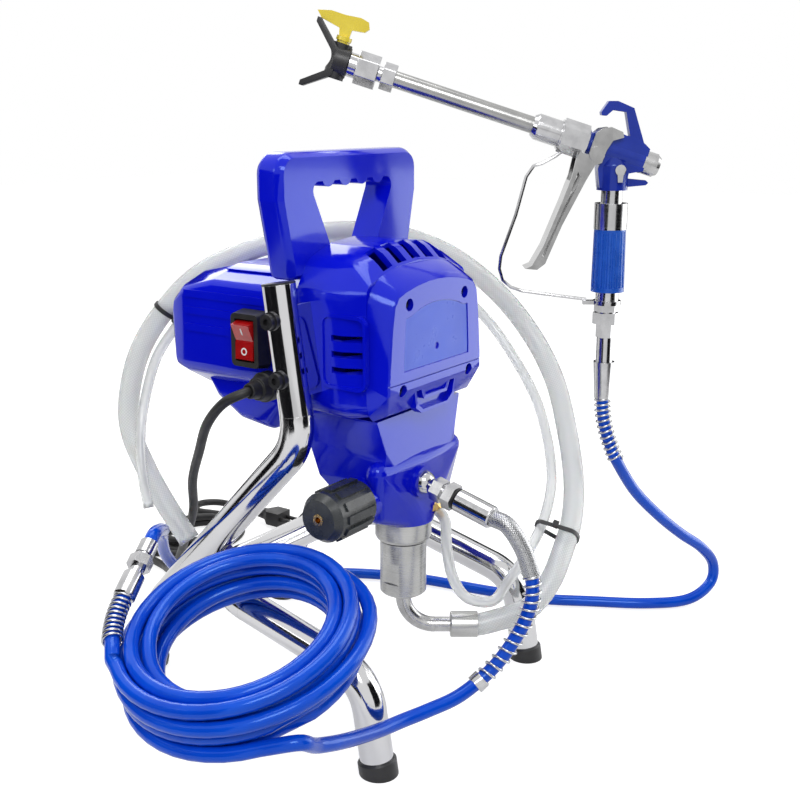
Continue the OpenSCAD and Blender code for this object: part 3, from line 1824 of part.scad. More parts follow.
gear_housing();
front_cover();
cover_screws();
motor_housing();
lower_cover();
pump_block();
carry_handle();
upright_left();
upright_right();
base_frame();
upright_brackets();
frame_bolts();
tube_caps();
pump_flange();
pump_seal();
pump_cylinder();
inlet_elbow();
suction_ferrule();
suction_hose();
return_fitting();
return_hose();
hose_ties();
outlet_fitting();
outlet_seal();
outlet_ferrule();
outlet_braid();
outlet_spring();
outlet_clamp();
paint_hose();
hose_coil();
coil_spring();
coil_fitting();
whip_hose();
whip_spring();
whip_fitting();
switch_body();
switch_rocker();
cord_gland();
power_cord();
cord_bundle();
power_plug();
pressure_knob();
knob_insert();
motor_rotor();
drive_gear();
gun_body();
gun_rear_nut();
gun_grip();
gun_sleeve();
gun_swivel();
trigger();
trigger_guard();
trigger_lock();
pole_nut();
pole_tube();
tip_fitting();
tip_guard();
tip_handle();
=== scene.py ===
import math

import bpy
import numpy as np
from mathutils import Matrix, Vector


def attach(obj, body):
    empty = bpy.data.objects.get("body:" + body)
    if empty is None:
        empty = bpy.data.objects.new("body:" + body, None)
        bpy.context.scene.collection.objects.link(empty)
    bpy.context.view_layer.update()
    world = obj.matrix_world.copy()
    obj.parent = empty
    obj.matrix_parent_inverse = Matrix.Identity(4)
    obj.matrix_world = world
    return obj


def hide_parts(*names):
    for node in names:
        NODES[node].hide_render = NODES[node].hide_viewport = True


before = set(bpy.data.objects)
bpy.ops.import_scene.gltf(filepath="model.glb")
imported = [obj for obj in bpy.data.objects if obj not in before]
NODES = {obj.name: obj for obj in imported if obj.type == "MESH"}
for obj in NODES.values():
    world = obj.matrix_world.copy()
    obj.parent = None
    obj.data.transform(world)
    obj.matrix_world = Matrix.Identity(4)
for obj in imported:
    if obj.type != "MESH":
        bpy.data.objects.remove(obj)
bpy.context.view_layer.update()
MM = 0.001


# ---------------------------------------------------------------- vectors
def unit(v):
    v = np.asarray(v, float)
    return v / np.linalg.norm(v)


def smooth(points, n):
    """Catmull-Rom curve through the points, n steps per span."""
    p = [np.asarray(q, float) for q in points]
    out = []
    for i in range(len(p) - 1):
        a = 2 * p[0] - p[1] if i == 0 else p[i - 1]
        b, c = p[i], p[i + 1]
        d = p[i + 2] if i + 2 < len(p) else 2 * p[i + 1] - p[i]
        for k in range(n):
            t = k / n
            out.append(0.5 * (2 * b + (c - a) * t + (2 * a - 5 * b + 4 * c - d) * t * t
                              + (3 * b - 3 * c + d - a) * t ** 3))
    out.append(p[-1])
    return np.array(out)


def tangents(p):
    n = len(p)
    return np.array([unit(p[min(i + 1, n - 1)] - p[max(i - 1, 0)]) for i in range(n)])


def normals(t):
    up = (0, 0, 1) if abs(t[0][2]) < 0.9 else (1, 0, 0)
    n = unit(np.cross(t[0], up))
    out = []
    for q in t:
        n = unit(n - n.dot(q) * q)
        out.append(n)
    return np.array(out)


def chain(*parts):
    """Paths joined end to end, without doubled points."""
    out = [np.asarray(parts[0][0], float)]
    for part in parts:
        for q in part:
            q = np.asarray(q, float)
            if np.linalg.norm(q - out[-1]) > 0.3:
                out.append(q)
    return np.array(out)


def wound(p, r, curls, per_curl=24):
    """Helix of radius r wound round the path p."""
    t, n = tangents(p), normals(tangents(p))
    m, steps, out = len(p) - 1, curls * per_curl, []
    for s in range(steps + 1):
        u = m * s / steps
        i = min(int(u), m - 1)
        f = u - i
        c = p[i] + (p[i + 1] - p[i]) * f
        tt = unit(t[i] + (t[i + 1] - t[i]) * f)
        nn = n[i] + (n[i + 1] - n[i]) * f
        nn = unit(nn - nn.dot(tt) * tt)
        a = 2 * math.pi * s / per_curl
        out.append(c + r * (math.cos(a) * nn + math.sin(a) * np.cross(tt, nn)))
    return np.array(out)


# ---------------------------------------------------------------- meshes
def piece(name, verts, faces, material, body, uvs=None, smooth_shading=True):
    """A mesh in millimetres, placed in metres on a CAD body."""
    mesh = bpy.data.meshes.new(name)
    mesh.from_pydata([tuple(float(c) * MM for c in v) for v in verts], [], faces)
    if uvs is not None:
        layer = mesh.uv_layers.new(name="UVMap")
        flat = [c for uv in uvs for c in uv]
        layer.data.foreach_set("uv", flat)
    mesh.polygons.foreach_set("use_smooth", [smooth_shading] * len(mesh.polygons))
    mesh.validate()
    mesh.update()
    obj = bpy.data.objects.new(name, mesh)
    bpy.context.scene.collection.objects.link(obj)
    mesh.materials.append(material)
    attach(obj, body)
    return obj


def tube_data(p, r, sides=20, closed_ends=True, first=None, last=None, flat=1.0):
    """Vertices, faces and UVs of a tube; u goes round, v is the length in metres. r may be a list."""
    t = tangents(p)
    if first is not None:
        t[0] = unit(first)
    if last is not None:
        t[-1] = unit(last)
    n = normals(t)
    r = np.broadcast_to(np.asarray(r, float), (len(p),))
    along = np.concatenate([[0], np.cumsum(np.linalg.norm(np.diff(p, axis=0), axis=1))]) * MM
    verts, faces, uvs = [], [], []
    for i in range(len(p)):
        b = np.cross(t[i], n[i])
        for k in range(sides):
            a = 2 * math.pi * k / sides
            verts.append(p[i] + r[i] * (math.cos(a) * n[i] + flat * math.sin(a) * b))
    for i in range(len(p) - 1):
        for k in range(sides):
            j = (k + 1) % sides
            faces.append((i * sides + k, i * sides + j, (i + 1) * sides + j, (i + 1) * sides + k))
            u0, u1 = k / sides, (k + 1) / sides
            uvs += [(u0, along[i]), (u1, along[i]), (u1, along[i + 1]), (u0, along[i + 1])]
    if closed_ends:
        for i, order in ((0, range(sides - 1, -1, -1)), (len(p) - 1, range(sides))):
            faces.append(tuple(i * sides + k for k in order))
            uvs += [(0.0, along[i])] * sides
    return verts, faces, uvs


def tube(name, p, r, material, body, sides=20, **kw):
    v, f, uv = tube_data(np.asarray(p, float), r, sides, **kw)
    return piece(name, v, f, material, body, uv)


def several(name, parts, material, body):
    """One piece made of several meshes, each (verts, faces, uvs)."""
    verts, faces, uvs = [], [], []
    for v, f, uv in parts:
        base = len(verts)
        verts += list(v)
        faces += [tuple(i + base for i in q) for q in f]
        uvs += uv
    return piece(name, verts, faces, material, body, uvs)


def hollow_tube(name, p, r_out, r_in, material, body, sides=28):
    """A pipe with both walls and ring-shaped ends."""
    vo, fo, uo = tube_data(p, r_out, sides, closed_ends=False)
    vi, fi, ui = tube_data(p, r_in, sides, closed_ends=False)
    base = len(vo)
    verts = list(vo) + list(vi)
    faces = list(fo) + [tuple(base + i for i in reversed(q)) for q in fi]
    uvs = list(uo)
    for q in range(len(fi)):
        uvs += list(reversed(ui[4 * q:4 * q + 4]))
    last = (len(p) - 1) * sides
    for k in range(sides):
        j = (k + 1) % sides
        faces.append((base + k, base + j, j, k))
        faces.append((last + k, last + j, base + last + j, base + last + k))
        uvs += [(0.0, 0.0)] * 8
    return piece(name, verts, faces, material, body, uvs)


# ---------------------------------------------------------------- node helpers
class Nodes:
    """Short hand for building one material's node tree."""

    def __init__(self, name):
        self.mat = bpy.data.materials.new(name)
        self.mat.use_nodes = True
        self.tree = self.mat.node_tree
        self.bsdf = self.tree.nodes["Principled BSDF"]
        self.place = None

    def set(self, **values):
        for key, value in values.items():
            socket = self.bsdf.inputs[key.replace("_", " ").title().replace("Ior", "IOR")]
            socket.default_value = (*value, 1.0) if isinstance(value, tuple) else value

    def new(self, kind, **props):
        node = self.tree.nodes.new(kind)
        for key, value in props.items():
            setattr(node, key, value)
        return node

    def link(self, a, b):
        self.tree.links.new(a, b)

    def coords(self, kind="Object", scale=(1, 1, 1)):
        tc = self.new("ShaderNodeTexCoord")
        mapping = self.new("ShaderNodeMapping")
        mapping.inputs["Scale"].default_value = scale
        self.link(tc.outputs[kind], mapping.inputs["Vector"])
        return mapping.outputs["Vector"]

    def noise(self, vector, scale, detail=4.0, roughness=0.5):
        n = self.new("ShaderNodeTexNoise")
        n.inputs["Scale"].default_value = scale
        n.inputs["Detail"].default_value = detail
        n.inputs["Roughness"].default_value = roughness
        self.link(vector, n.inputs["Vector"])
        return n.outputs["Fac"]

    def ramp(self, fac, stops):
        r = self.new("ShaderNodeValToRGB")
        e = r.color_ramp.elements
        while len(e) < len(stops):
            e.new(0.5)
        for el, (pos, col) in zip(e, stops):
            el.position = pos
            el.color = (*col, 1.0)
        self.link(fac, r.inputs["Fac"])
        return r.outputs["Color"]

    def range(self, fac, lo, hi, from_lo=0.0, from_hi=1.0):
        m = self.new("ShaderNodeMapRange")
        for key, value in (("From Min", from_lo), ("From Max", from_hi), ("To Min", lo), ("To Max", hi)):
            m.inputs[key].default_value = value
        self.link(fac, m.inputs["Value"])
        return m.outputs["Result"]

    def math(self, op, a, b=None, c=None):
        m = self.new("ShaderNodeMath", operation=op)
        for i, value in enumerate((a, b, c)):
            if value is None:
                continue
            if isinstance(value, (int, float)):
                m.inputs[i].default_value = value
            else:
                self.link(value, m.inputs[i])
        return m.outputs[0]

    def bump(self, height, strength, distance, chain_from=None):
        b = self.new("ShaderNodeBump")
        b.inputs["Strength"].default_value = strength
        b.inputs["Distance"].default_value = distance
        self.link(height, b.inputs["Height"])
        if chain_from is not None:
            self.link(chain_from, b.inputs["Normal"])
        self.link(b.outputs["Normal"], self.bsdf.inputs["Normal"])
        return b.outputs["Normal"]


def speckled(name, lo, hi, rough, metallic=0.0, scale=60.0, rough_scale=90.0, bump=0.0, bump_scale=900.0,
             stretch=(1, 1, 1), coat=0.0, ior=1.5):
    """A plain surface with slight colour and gloss variation and a fine texture."""
    n = Nodes(name)
    n.set(metallic=metallic, ior=ior)
    if coat:
        n.set(coat_weight=coat, coat_roughness=0.05)
    v = n.coords("Object", stretch)
    n.link(n.ramp(n.noise(v, scale, 5), [(0.3, lo), (0.7, hi)]), n.bsdf.inputs["Base Color"])
    n.link(n.range(n.noise(v, rough_scale, 6, 0.6), rough[0], rough[1], 0.3, 0.7), n.bsdf.inputs["Roughness"])
    if bump:
        n.bump(n.noise(v, bump_scale, 3), bump, 0.0002)
    return n


def turned(name, lo, hi, rough, axis=2, lines=2600.0, strength=0.25, metallic=1.0):
    """Metal turned on a lathe or drawn: fine lines square to the axis, with broad tone changes."""
    n = Nodes(name)
    n.set(metallic=metallic)
    stretch = [2.0, 2.0, 2.0]
    stretch[axis] = lines
    v = n.coords("Object", tuple(stretch))
    fine = n.noise(v, 1.0, 2)
    broad = n.noise(n.coords("Object", (1, 1, 1)), 45, 4)
    n.link(n.ramp(broad, [(0.3, lo), (0.7, hi)]), n.bsdf.inputs["Base Color"])
    n.link(n.range(fine, rough[0], rough[1], 0.3, 0.7), n.bsdf.inputs["Roughness"])
    n.bump(fine, strength, 0.0001)
    return n


# ---------------------------------------------------------------- materials
BLUE_LO, BLUE_HI = (0.0014, 0.0045, 0.58), (0.0020, 0.0065, 0.68)
housing = speckled("housing_blue", BLUE_LO, BLUE_HI, (0.10, 0.15), scale=8, rough_scale=35, bump=0.05,
                   bump_scale=1500, coat=0.12)
field_blue = speckled("field_blue", (0.018, 0.060, 0.62), (0.026, 0.080, 0.70), (0.26, 0.34), scale=20,
                      bump=0.15, bump_scale=2500)
chrome = speckled("chrome_tube", (0.60, 0.60, 0.61), (0.70, 0.70, 0.71), (0.09, 0.13), 1.0, scale=12,
                  rough_scale=30, bump=0.02, bump_scale=500)
bracket = speckled("bracket_chrome", (0.66, 0.66, 0.67), (0.76, 0.76, 0.77), (0.08, 0.14), 1.0, scale=20,
                   bump=0.03)
dark_screw = speckled("dark_screw", (0.02, 0.02, 0.022), (0.05, 0.05, 0.055), (0.28, 0.42), 0.6, scale=300,
                      bump=0.1)
black = speckled("black_plastic", (0.012, 0.012, 0.013), (0.024, 0.024, 0.026), (0.32, 0.45), scale=80,
                 bump=0.2, bump_scale=2200)
rubber = speckled("rubber_black", (0.006, 0.006, 0.006), (0.012, 0.012, 0.013), (0.40, 0.55), scale=120,
                  bump=0.15, bump_scale=1500)
knob_black = speckled("knob_black", (0.022, 0.026, 0.028), (0.045, 0.050, 0.053), (0.22, 0.34), scale=120,
                      bump=0.15, bump_scale=1800)
pump_steel = turned("pump_steel", (0.42, 0.42, 0.41), (0.54, 0.54, 0.53), (0.22, 0.34))
plain_steel = speckled("plain_steel", (0.40, 0.40, 0.40), (0.54, 0.54, 0.54), (0.16, 0.30), 1.0, scale=150,
                       rough_scale=200, bump=0.08, bump_scale=2600)
bright_steel = speckled("bright_steel", (0.46, 0.46, 0.47), (0.58, 0.58, 0.59), (0.10, 0.18), 1.0, scale=120,
                        rough_scale=180, bump=0.05, bump_scale=2600)
brass = speckled("brass", (0.62, 0.40, 0.13), (0.78, 0.56, 0.24), (0.18, 0.30), 1.0, scale=150, bump=0.08)
braid_steel = speckled("braided_steel", (0.34, 0.35, 0.36), (0.52, 0.52, 0.53), (0.20, 0.34), 1.0, scale=700,
                       rough_scale=900)
spring_steel = speckled("spring_steel", (0.48, 0.49, 0.51), (0.64, 0.64, 0.66), (0.10, 0.20), 1.0, scale=300)
cast = speckled("gun_cast", (0.34, 0.34, 0.34), (0.46, 0.46, 0.46), (0.12, 0.20), 1.0, scale=90, bump=0.12,
                bump_scale=1200)
gun_blue = speckled("gun_blue", (0.008, 0.022, 0.30), (0.012, 0.032, 0.40), (0.14, 0.24), scale=50, bump=0.08,
                    bump_scale=1500, coat=0.1)
grip_blue = speckled("grip_blue", (0.010, 0.085, 0.50), (0.018, 0.115, 0.60), (0.22, 0.34), scale=90,
                     bump=0.12, bump_scale=2000)
sleeve_silver = turned("sleeve_silver", (0.56, 0.56, 0.57), (0.66, 0.66, 0.67), (0.12, 0.22), lines=1500,
                       strength=0.1)
pole_steel = speckled("pole_steel", (0.32, 0.32, 0.32), (0.42, 0.42, 0.41), (0.20, 0.26), 1.0, scale=40,
                      rough_scale=60, bump=0.015, bump_scale=900)
yellow = speckled("tip_yellow", (0.80, 0.62, 0.030), (0.90, 0.72, 0.055), (0.20, 0.30), scale=60, bump=0.08,
                  coat=0.3)
seal_white = speckled("seal_white", (0.72, 0.72, 0.70), (0.84, 0.84, 0.82), (0.35, 0.5), scale=100)
mark_white = speckled("mark_white", (0.78, 0.78, 0.78), (0.86, 0.86, 0.86), (0.35, 0.45), scale=100)

# The blue plastics mirror their surroundings with a bluish sheen
HOUSING_SHEEN, GUN_SHEEN, GRIP_SHEEN = (0.42, 0.62, 1.0), (0.5, 0.7, 1.0), (0.6, 0.8, 1.0)
for glossy, sheen in ((housing, HOUSING_SHEEN), (field_blue, HOUSING_SHEEN), (gun_blue, GUN_SHEEN),
                      (grip_blue, GRIP_SHEEN)):
    glossy.set(specular_tint=sheen)

rocker_red = speckled("red_rocker", (0.42, 0.004, 0.006), (0.55, 0.008, 0.010), (0.12, 0.2), scale=120,
                      coat=0.5)
rocker_red.set(subsurface_weight=0.25, transmission_weight=0.15)


def hose_blue():
    """Glossy extruded hose: faint draw lines along it and slow colour changes."""
    n = Nodes("blue_hose")
    n.set(ior=1.5, coat_weight=0.12, coat_roughness=0.06, specular_tint=(0.30, 0.62, 1.0))
    uv = n.coords("UV", (26, 3, 1))
    broad = n.noise(n.coords("Object"), 25, 4)
    n.link(n.ramp(broad, [(0.3, (0.0012, 0.055, 0.58)), (0.7, (0.002, 0.085, 0.72))]),
           n.bsdf.inputs["Base Color"])
    n.link(n.range(n.noise(uv, 2.0, 3), 0.12, 0.22, 0.3, 0.7), n.bsdf.inputs["Roughness"])
    n.bump(n.noise(uv, 3.0, 2), 0.05, 0.0003)
    return n


def clear_hose(name, around, per_m, tint, clear, line):
    """Clear PVC hose with a fine crossed yarn in its wall."""
    n = Nodes(name)
    n.set(ior=1.45, transmission_weight=clear, subsurface_weight=0.1)
    uv = n.coords("UV")
    sep = n.new("ShaderNodeSeparateXYZ")
    n.link(uv, sep.inputs["Vector"])
    u, v = sep.outputs["X"], sep.outputs["Y"]
    yarns = []
    for sign in (1, -1):
        turns = n.math("MULTIPLY", u, float(around))
        phase = n.math("ADD", turns, n.math("MULTIPLY", v, sign * float(per_m)))
        saw = n.math("ABSOLUTE", n.math("SUBTRACT", n.math("FRACT", phase), 0.5))
        yarns.append(n.range(saw, 0.0, 1.0, 0.5 - line, 0.5 - line * 0.5))
    mask = n.math("MAXIMUM", yarns[0], yarns[1])
    mix = n.new("ShaderNodeMix", data_type="RGBA")
    mix.inputs["A"].default_value = (*tint, 1)
    mix.inputs["B"].default_value = (0.84, 0.855, 0.85, 1)
    n.link(mask, mix.inputs["Factor"])
    n.link(mix.outputs["Result"], n.bsdf.inputs["Base Color"])
    n.link(n.range(n.noise(n.coords("Object"), 60, 4), 0.14, 0.26, 0.3, 0.7), n.bsdf.inputs["Roughness"])
    n.bump(mask, 0.25, 0.0002)
    return n


blue_hose = hose_blue()
suction_clear = clear_hose("clear_hose", 20, 360, (0.99, 0.995, 0.992), 0.62, 0.17)
return_clear = speckled("clear_thin_hose", (0.93, 0.94, 0.935), (0.97, 0.98, 0.975), (0.10, 0.18), scale=30,
                        ior=1.45)
return_clear.set(transmission_weight=0.72)

SHOWN = {
    "gear_housing": (housing, 0.9), "front_cover": (housing, 0.8), "motor_housing": (housing, 0.9),
    "lower_cover": (housing, 1.2), "pump_block": (housing, 1.4), "carry_handle": (housing, 1.0),
    "upright_left": (chrome, 0.2), "upright_right": (chrome, 0.2), "base_frame": (chrome, 0.2),
    "upright_brackets": (bracket, 0.6), "frame_bolts": (dark_screw, 0.4), "cover_screws": (dark_screw, 0.2),
    "tube_caps": (black, 0.8), "switch_body": (rubber, 0.8), "hose_ties": (black, 0.3),
    "tip_guard": (black, 0.6), "cord_gland": (rubber, 0.6), "power_plug": (rubber, 0.8),
    "pump_seal": (rubber, 0.2), "pressure_knob": (knob_black, 0.8), "knob_insert": (brass, 0.3),
    "pump_flange": (pump_steel, 0.6), "pump_cylinder": (pump_steel, 0.5), "inlet_elbow": (plain_steel, 0.2),
    "suction_ferrule": (pump_steel, 0.5), "return_fitting": (brass, 0.3), "outlet_fitting": (bright_steel, 0.5),
    "outlet_seal": (rubber, 0.2), "outlet_ferrule": (bright_steel, 0.4), "outlet_clamp": (bright_steel, 0.6),
    "coil_fitting": (bright_steel, 0.4), "whip_fitting": (bright_steel, 0.4), "switch_rocker": (rocker_red, 0.7),
    "motor_rotor": (plain_steel, 0.2), "drive_gear": (plain_steel, 0.2), "gun_body": (gun_blue, 0.9),
    "gun_rear_nut": (plain_steel, 0.6), "gun_grip": (grip_blue, 0.3), "gun_sleeve": (sleeve_silver, 0.5),
    "gun_swivel": (bright_steel, 0.5), "trigger": (cast, 0.7), "trigger_lock": (bright_steel, 0.3),
    "pole_nut": (bright_steel, 0.6), "pole_tube": (pole_steel, 0.2), "tip_fitting": (bright_steel, 0.5),
    "tip_handle": (yellow, 1.0), "outlet_braid": (braid_steel, 0.0), "trigger_guard": (bright_steel, 0.0),
}


def dress(name, material, bevel_mm):
    """Material, rounded edges and even shading on a CAD node; its own points stay."""
    o = NODES[name]
    mesh = o.data
    mesh.materials.clear()
    mesh.materials.append(material)
    for key in ("custom_normal", "sharp_edge", "sharp_face"):
        if key in mesh.attributes:
            mesh.attributes.remove(mesh.attributes[key])
    mesh.polygons.foreach_set("use_smooth", [True] * len(mesh.polygons))
    weld = o.modifiers.new("weld", "WELD")
    weld.merge_threshold = 0.00001
    bevel = o.modifiers.new("bevel", "BEVEL")
    bevel.width = max(bevel_mm, 0.1) * MM
    bevel.segments = 3 if bevel_mm > 0.5 else 2
    bevel.limit_method = "ANGLE"
    bevel.angle_limit = math.radians(32)
    bevel.harden_normals = False
    bevel.miter_outer = "MITER_ARC"
    even = o.modifiers.new("normals", "WEIGHTED_NORMAL")
    even.weight = 80
    even.keep_sharp = True


for node, (nodes_of, width) in SHOWN.items():
    dress(node, nodes_of.mat, width)

# ---------------------------------------------------------------- routes, as in the part's source
HOSE_D, SUCTION_D, RETURN_D, CORD_D, WIRE = 10.5, 18.5, 9.0, 8.0, 2.0
PUMP_Y = 58.0
OUT_AXIS = np.array([0, -math.cos(math.radians(15)), -math.sin(math.radians(15))])
OUT_END = np.array([-8, 33, 192]) + 65.6 * OUT_AXIS
BRAID_ROUTE = [OUT_END, OUT_END + 14 * OUT_AXIS, (-4, -55, 154), (-2, -62, 134)]
GUARD_ROUTE = [(-2, -62, 134), (-4, -64, 118), (-8, -62, 102), (-16, -57, 86), (-27, -50, 70), (-40, -42, 58)]

COIL_N = unit([-0.32, -0.016, 0.947])
COIL_A = unit(np.cross(COIL_N, (0, 0, 1)))
COIL_B = np.cross(COIL_N, COIL_A)
COIL_C = np.array([-178.0, 67.0, 102.0])
COIL_START, COIL_TURNS, COIL_R, COIL_PITCH, COIL_COLS = 132.0, 9.22, 66.0, 11.0, 2


def coil_rad(t):
    m = (t + 0.25) % 5
    return COIL_R + COIL_PITCH * (COIL_COLS - (m - 0.25 if m < 2.5 else 4.75 - m))


def coil_h(t):
    k, f = math.floor((t + 0.5) / 2.5), (t + 0.5) % 2.5
    rise = (1 - math.cos(2 * math.pi * f)) / 2 if f < 0.5 else 1
    return COIL_PITCH * 1.02 * (0 if t < 2 else k - 1 + rise)


def on_coil(angle_deg, r, h):
    a = math.radians(angle_deg)
    return COIL_C + h * COIL_N + r * (math.cos(a) * COIL_A + math.sin(a) * COIL_B)


def coil_pt(t):
    return on_coil(COIL_START - 360 * t, coil_rad(t), coil_h(t))


def tail_pt(u):
    return on_coil(COIL_START - 360 * (COIL_TURNS + u), coil_rad(COIL_TURNS) + 40 * u,
                   coil_h(COIL_TURNS) + 90 * u)


STEPS = round(COIL_TURNS * 24)
coil = [coil_pt(COIL_TURNS * i / STEPS) for i in range(STEPS + 1)]
COIL_IN, COIL_OUT = unit(coil[1] - coil[0]), unit(coil[-1] - coil[-2])
LEAD_END, COIL_LAST = coil[0] - HOSE_D * COIL_IN, coil[-1] + HOSE_D * COIL_OUT
LEAD_ROUTE = GUARD_ROUTE + [(-62, -34, 50), (-86, -24, 47), (-108, -17, 47), (-132, -14, 50), (-158, -14, 57),
                            (-184, -15, 66), (-207, -14, 75), LEAD_END - 18 * COIL_IN, LEAD_END]
TAIL_ROUTE = [COIL_LAST] + [tail_pt(0.035 + i * 0.016) for i in range(6)]
tail_2 = smooth(TAIL_ROUTE, 2)
TAIL_END, TAIL_DIR = tail_2[-1], unit(tail_2[-1] - tail_2[-2])

GUN_O, GUN_YAW, WHIP_TOP = np.array([189.0, -26.0]), math.radians(125), 228.0


def gun_pt(u, z, side=0.0):
    c, s = math.cos(GUN_YAW), math.sin(GUN_YAW)
    return np.array([GUN_O[0] + u * c - side * s, GUN_O[1] + u * s + side * c, z])


WSPRING_ROUTE = [gun_pt(0, WHIP_TOP), gun_pt(-1, 214), gun_pt(-4, 199), gun_pt(-9, 184), gun_pt(-15, 170)]
WHIP_START = TAIL_END + 51.7 * TAIL_DIR
WHIP_ROUTE = [WHIP_START, WHIP_START + 12 * TAIL_DIR, (-128, 202, 152), (-102, 232, 134), (-70, 264, 98),
              (-40, 278, 66), (-10, 290, 34), (30, 298, 12), (70, 300, 6), (110, 290, 6), (142, 262, 6),
              (170, 218, 6), (190, 166, 6), (202, 104, 6), (216, 46, 6), (240, 0, 6), (268, -48, 6),
              (298, -78, 7), (324, -90, 18), (328, -90, 38), (308, -84, 60), (282, -72, 80), (254, -60, 104),
              (226, -46, 134)] + WSPRING_ROUTE[::-1]

INTAKE = np.array([math.cos(math.radians(-55)), math.sin(math.radians(-55)), 0])
SUCTION_START = np.array([0, PUMP_Y, 60.0]) + 49 * INTAKE
SUCTION_ROUTE = [SUCTION_START, SUCTION_START + 16 * INTAKE, (60, -22, 70), (74, -30, 80), (89, -34, 94),
                 (110, -32, 110), (137, -26, 128), (167, -12, 154), (198, 12, 190), (222, 40, 232),
                 (230, 74, 274), (214, 106, 314), (178, 135, 347), (132, 162, 366), (88, 184, 371),
                 (54, 208, 368), (24, 238, 357), (-2, 274, 336), (-20, 302, 304), (-36, 319, 268),
                 (-47, 324, 230), (-52, 320, 198), (-51, 304, 165), (-47, 284, 132), (-42, 262, 102)]
RETURN_DIR = np.array([0, -math.sin(math.radians(40)), -math.cos(math.radians(40))])
RETURN_START = np.array([13.0, 38.0, 168.0]) + 15 * RETURN_DIR
RETURN_ROUTE = [RETURN_START - 7 * RETURN_DIR, RETURN_START + 4 * RETURN_DIR, (13, 24, 132), (16, 20, 106),
                (26, 12, 86), (44, -2, 80), (62, -6, 92), (84, -10, 108), (110, -10, 126), (132, -6, 144),
                (151, 2, 162), (171, 18, 188), (188, 40, 218), (197, 68, 250), (196, 98, 284),
                (176, 130, 318), (142, 162, 344), (112, 184, 356), (96, 195, 362), (66, 219, 362),
                (36, 250, 350), (11, 281, 328), (-7, 292, 298), (-31, 303, 264), (-45, 308, 222),
                (-57, 302, 194), (-66, 292, 166), (-70, 282, 137)]

CORD_START = np.array([-77.0, 140.0, 266.6])
BUNDLE_C, BUNDLE_R, BUNDLE_PITCH, BUNDLE_TURNS = np.array([150.0, 450.0, 0.0]), 60.0, 10.8, 3.5


def bundle_pt(t):
    a = math.radians(200 + 360 * t)
    f = 0 if t < 2 else ((1 - math.cos(2 * math.pi * (t - 2))) / 2 if t < 2.5 else 1)
    r = BUNDLE_R - BUNDLE_PITCH * (t if t < 2.25 else 4.5 - t)
    return BUNDLE_C + np.array([r * math.cos(a), 0.8 * r * math.sin(a), CORD_D / 2 + 0.2 + 8.8 * f])


bundle = [bundle_pt(i / 24) for i in range(round(BUNDLE_TURNS * 24) + 1)]
BUN_IN, BUN_OUT = unit(bundle[1] - bundle[0]), unit(bundle[-1] - bundle[-2])
BUNDLE_FIRST, BUNDLE_LAST = bundle[0] - CORD_D * BUN_IN, bundle[-1] + CORD_D * BUN_OUT
CORD_ROUTE = [CORD_START, CORD_START + np.array([-16, 2, -1]), (-102, 156, 257), (-98, 178, 236),
              (-82, 204, 206), (-62, 234, 170), (-34, 264, 128), (-8, 302, 86), (25, 352, 36), (44, 384, 15),
              (60, 410, 7), BUNDLE_FIRST - 22 * BUN_IN, BUNDLE_FIRST]
PLUG_AT, PLUG_DIR = np.array([232.0, 426.0, 12.0]), np.array([0.0, -1.0, 0.0])
PLUG_ROUTE = [BUNDLE_LAST, BUNDLE_LAST + 16 * BUN_OUT, (199, 503, 12), (216, 506, 12), (229, 492, 12),
              (232, 466, 12), PLUG_AT - 4 * PLUG_DIR]

# ---------------------------------------------------------------- camera: the photograph's viewpoint
camera = bpy.data.objects.new("camera", bpy.data.cameras.new("camera"))
bpy.context.scene.collection.objects.link(camera)
bpy.context.scene.camera = camera
camera.data.lens = 50.67
camera.data.sensor_width = 36.0
camera.data.clip_start, camera.data.clip_end = 0.01, 50
FORWARD = Vector((0.7934, 0.5555, -0.2487)).normalized()
RIGHT = Vector((0.5736, -0.8192, 0.0)).normalized()
UP = RIGHT.cross(FORWARD)
camera.matrix_world = Matrix.Translation((-0.7095, -0.4355, 0.475)) @ Matrix(
    ((RIGHT[0], UP[0], -FORWARD[0], 0), (RIGHT[1], UP[1], -FORWARD[1], 0), (RIGHT[2], UP[2], -FORWARD[2], 0),
     (0, 0, 0, 1)))

# ---------------------------------------------------------------- hoses and cord

def eased(p, centre, reach, rounds):
    """The path with the bend near a point drawn rounder."""
    p = np.array(p)
    near = [i for i in range(1, len(p) - 1) if np.linalg.norm(p[i] - np.array(centre)) < reach]
    for _ in range(rounds):
        q = p.copy()
        for i in near:
            q[i] = 0.5 * p[i] + 0.25 * (p[i - 1] + p[i + 1])
        p = q
    return p


line_coil = [coil_pt(COIL_TURNS * i / 440) for i in range(441)]
paint_path = chain(smooth(BRAID_ROUTE, 8), smooth(LEAD_ROUTE, 8), [LEAD_END], line_coil, [COIL_LAST],
                   smooth(TAIL_ROUTE, 6))
paint_path = eased(paint_path, (-221, -18, 86), 22, 14)
paint_line = tube("paint_hose_line", paint_path, HOSE_D / 2, blue_hose.mat, "machine", 24)
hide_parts("paint_hose", "hose_coil")

SPRING_R = HOSE_D / 2 + WIRE / 2 + 0.2


def spring(name, path, curls, node, body):
    o = tube(name, wound(path, SPRING_R, curls), WIRE / 2, spring_steel.mat, body, 10)
    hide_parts(node)
    return o


outlet_spring = spring("outlet_spring_wire", smooth(GUARD_ROUTE, 2), 13, "outlet_spring", "machine")
coil_spring = spring("coil_spring_wire", tail_2[3:], 10, "coil_spring", "machine")
whip_spring = spring("whip_spring_wire", smooth(WSPRING_ROUTE, 3), 12, "whip_spring", "machine")


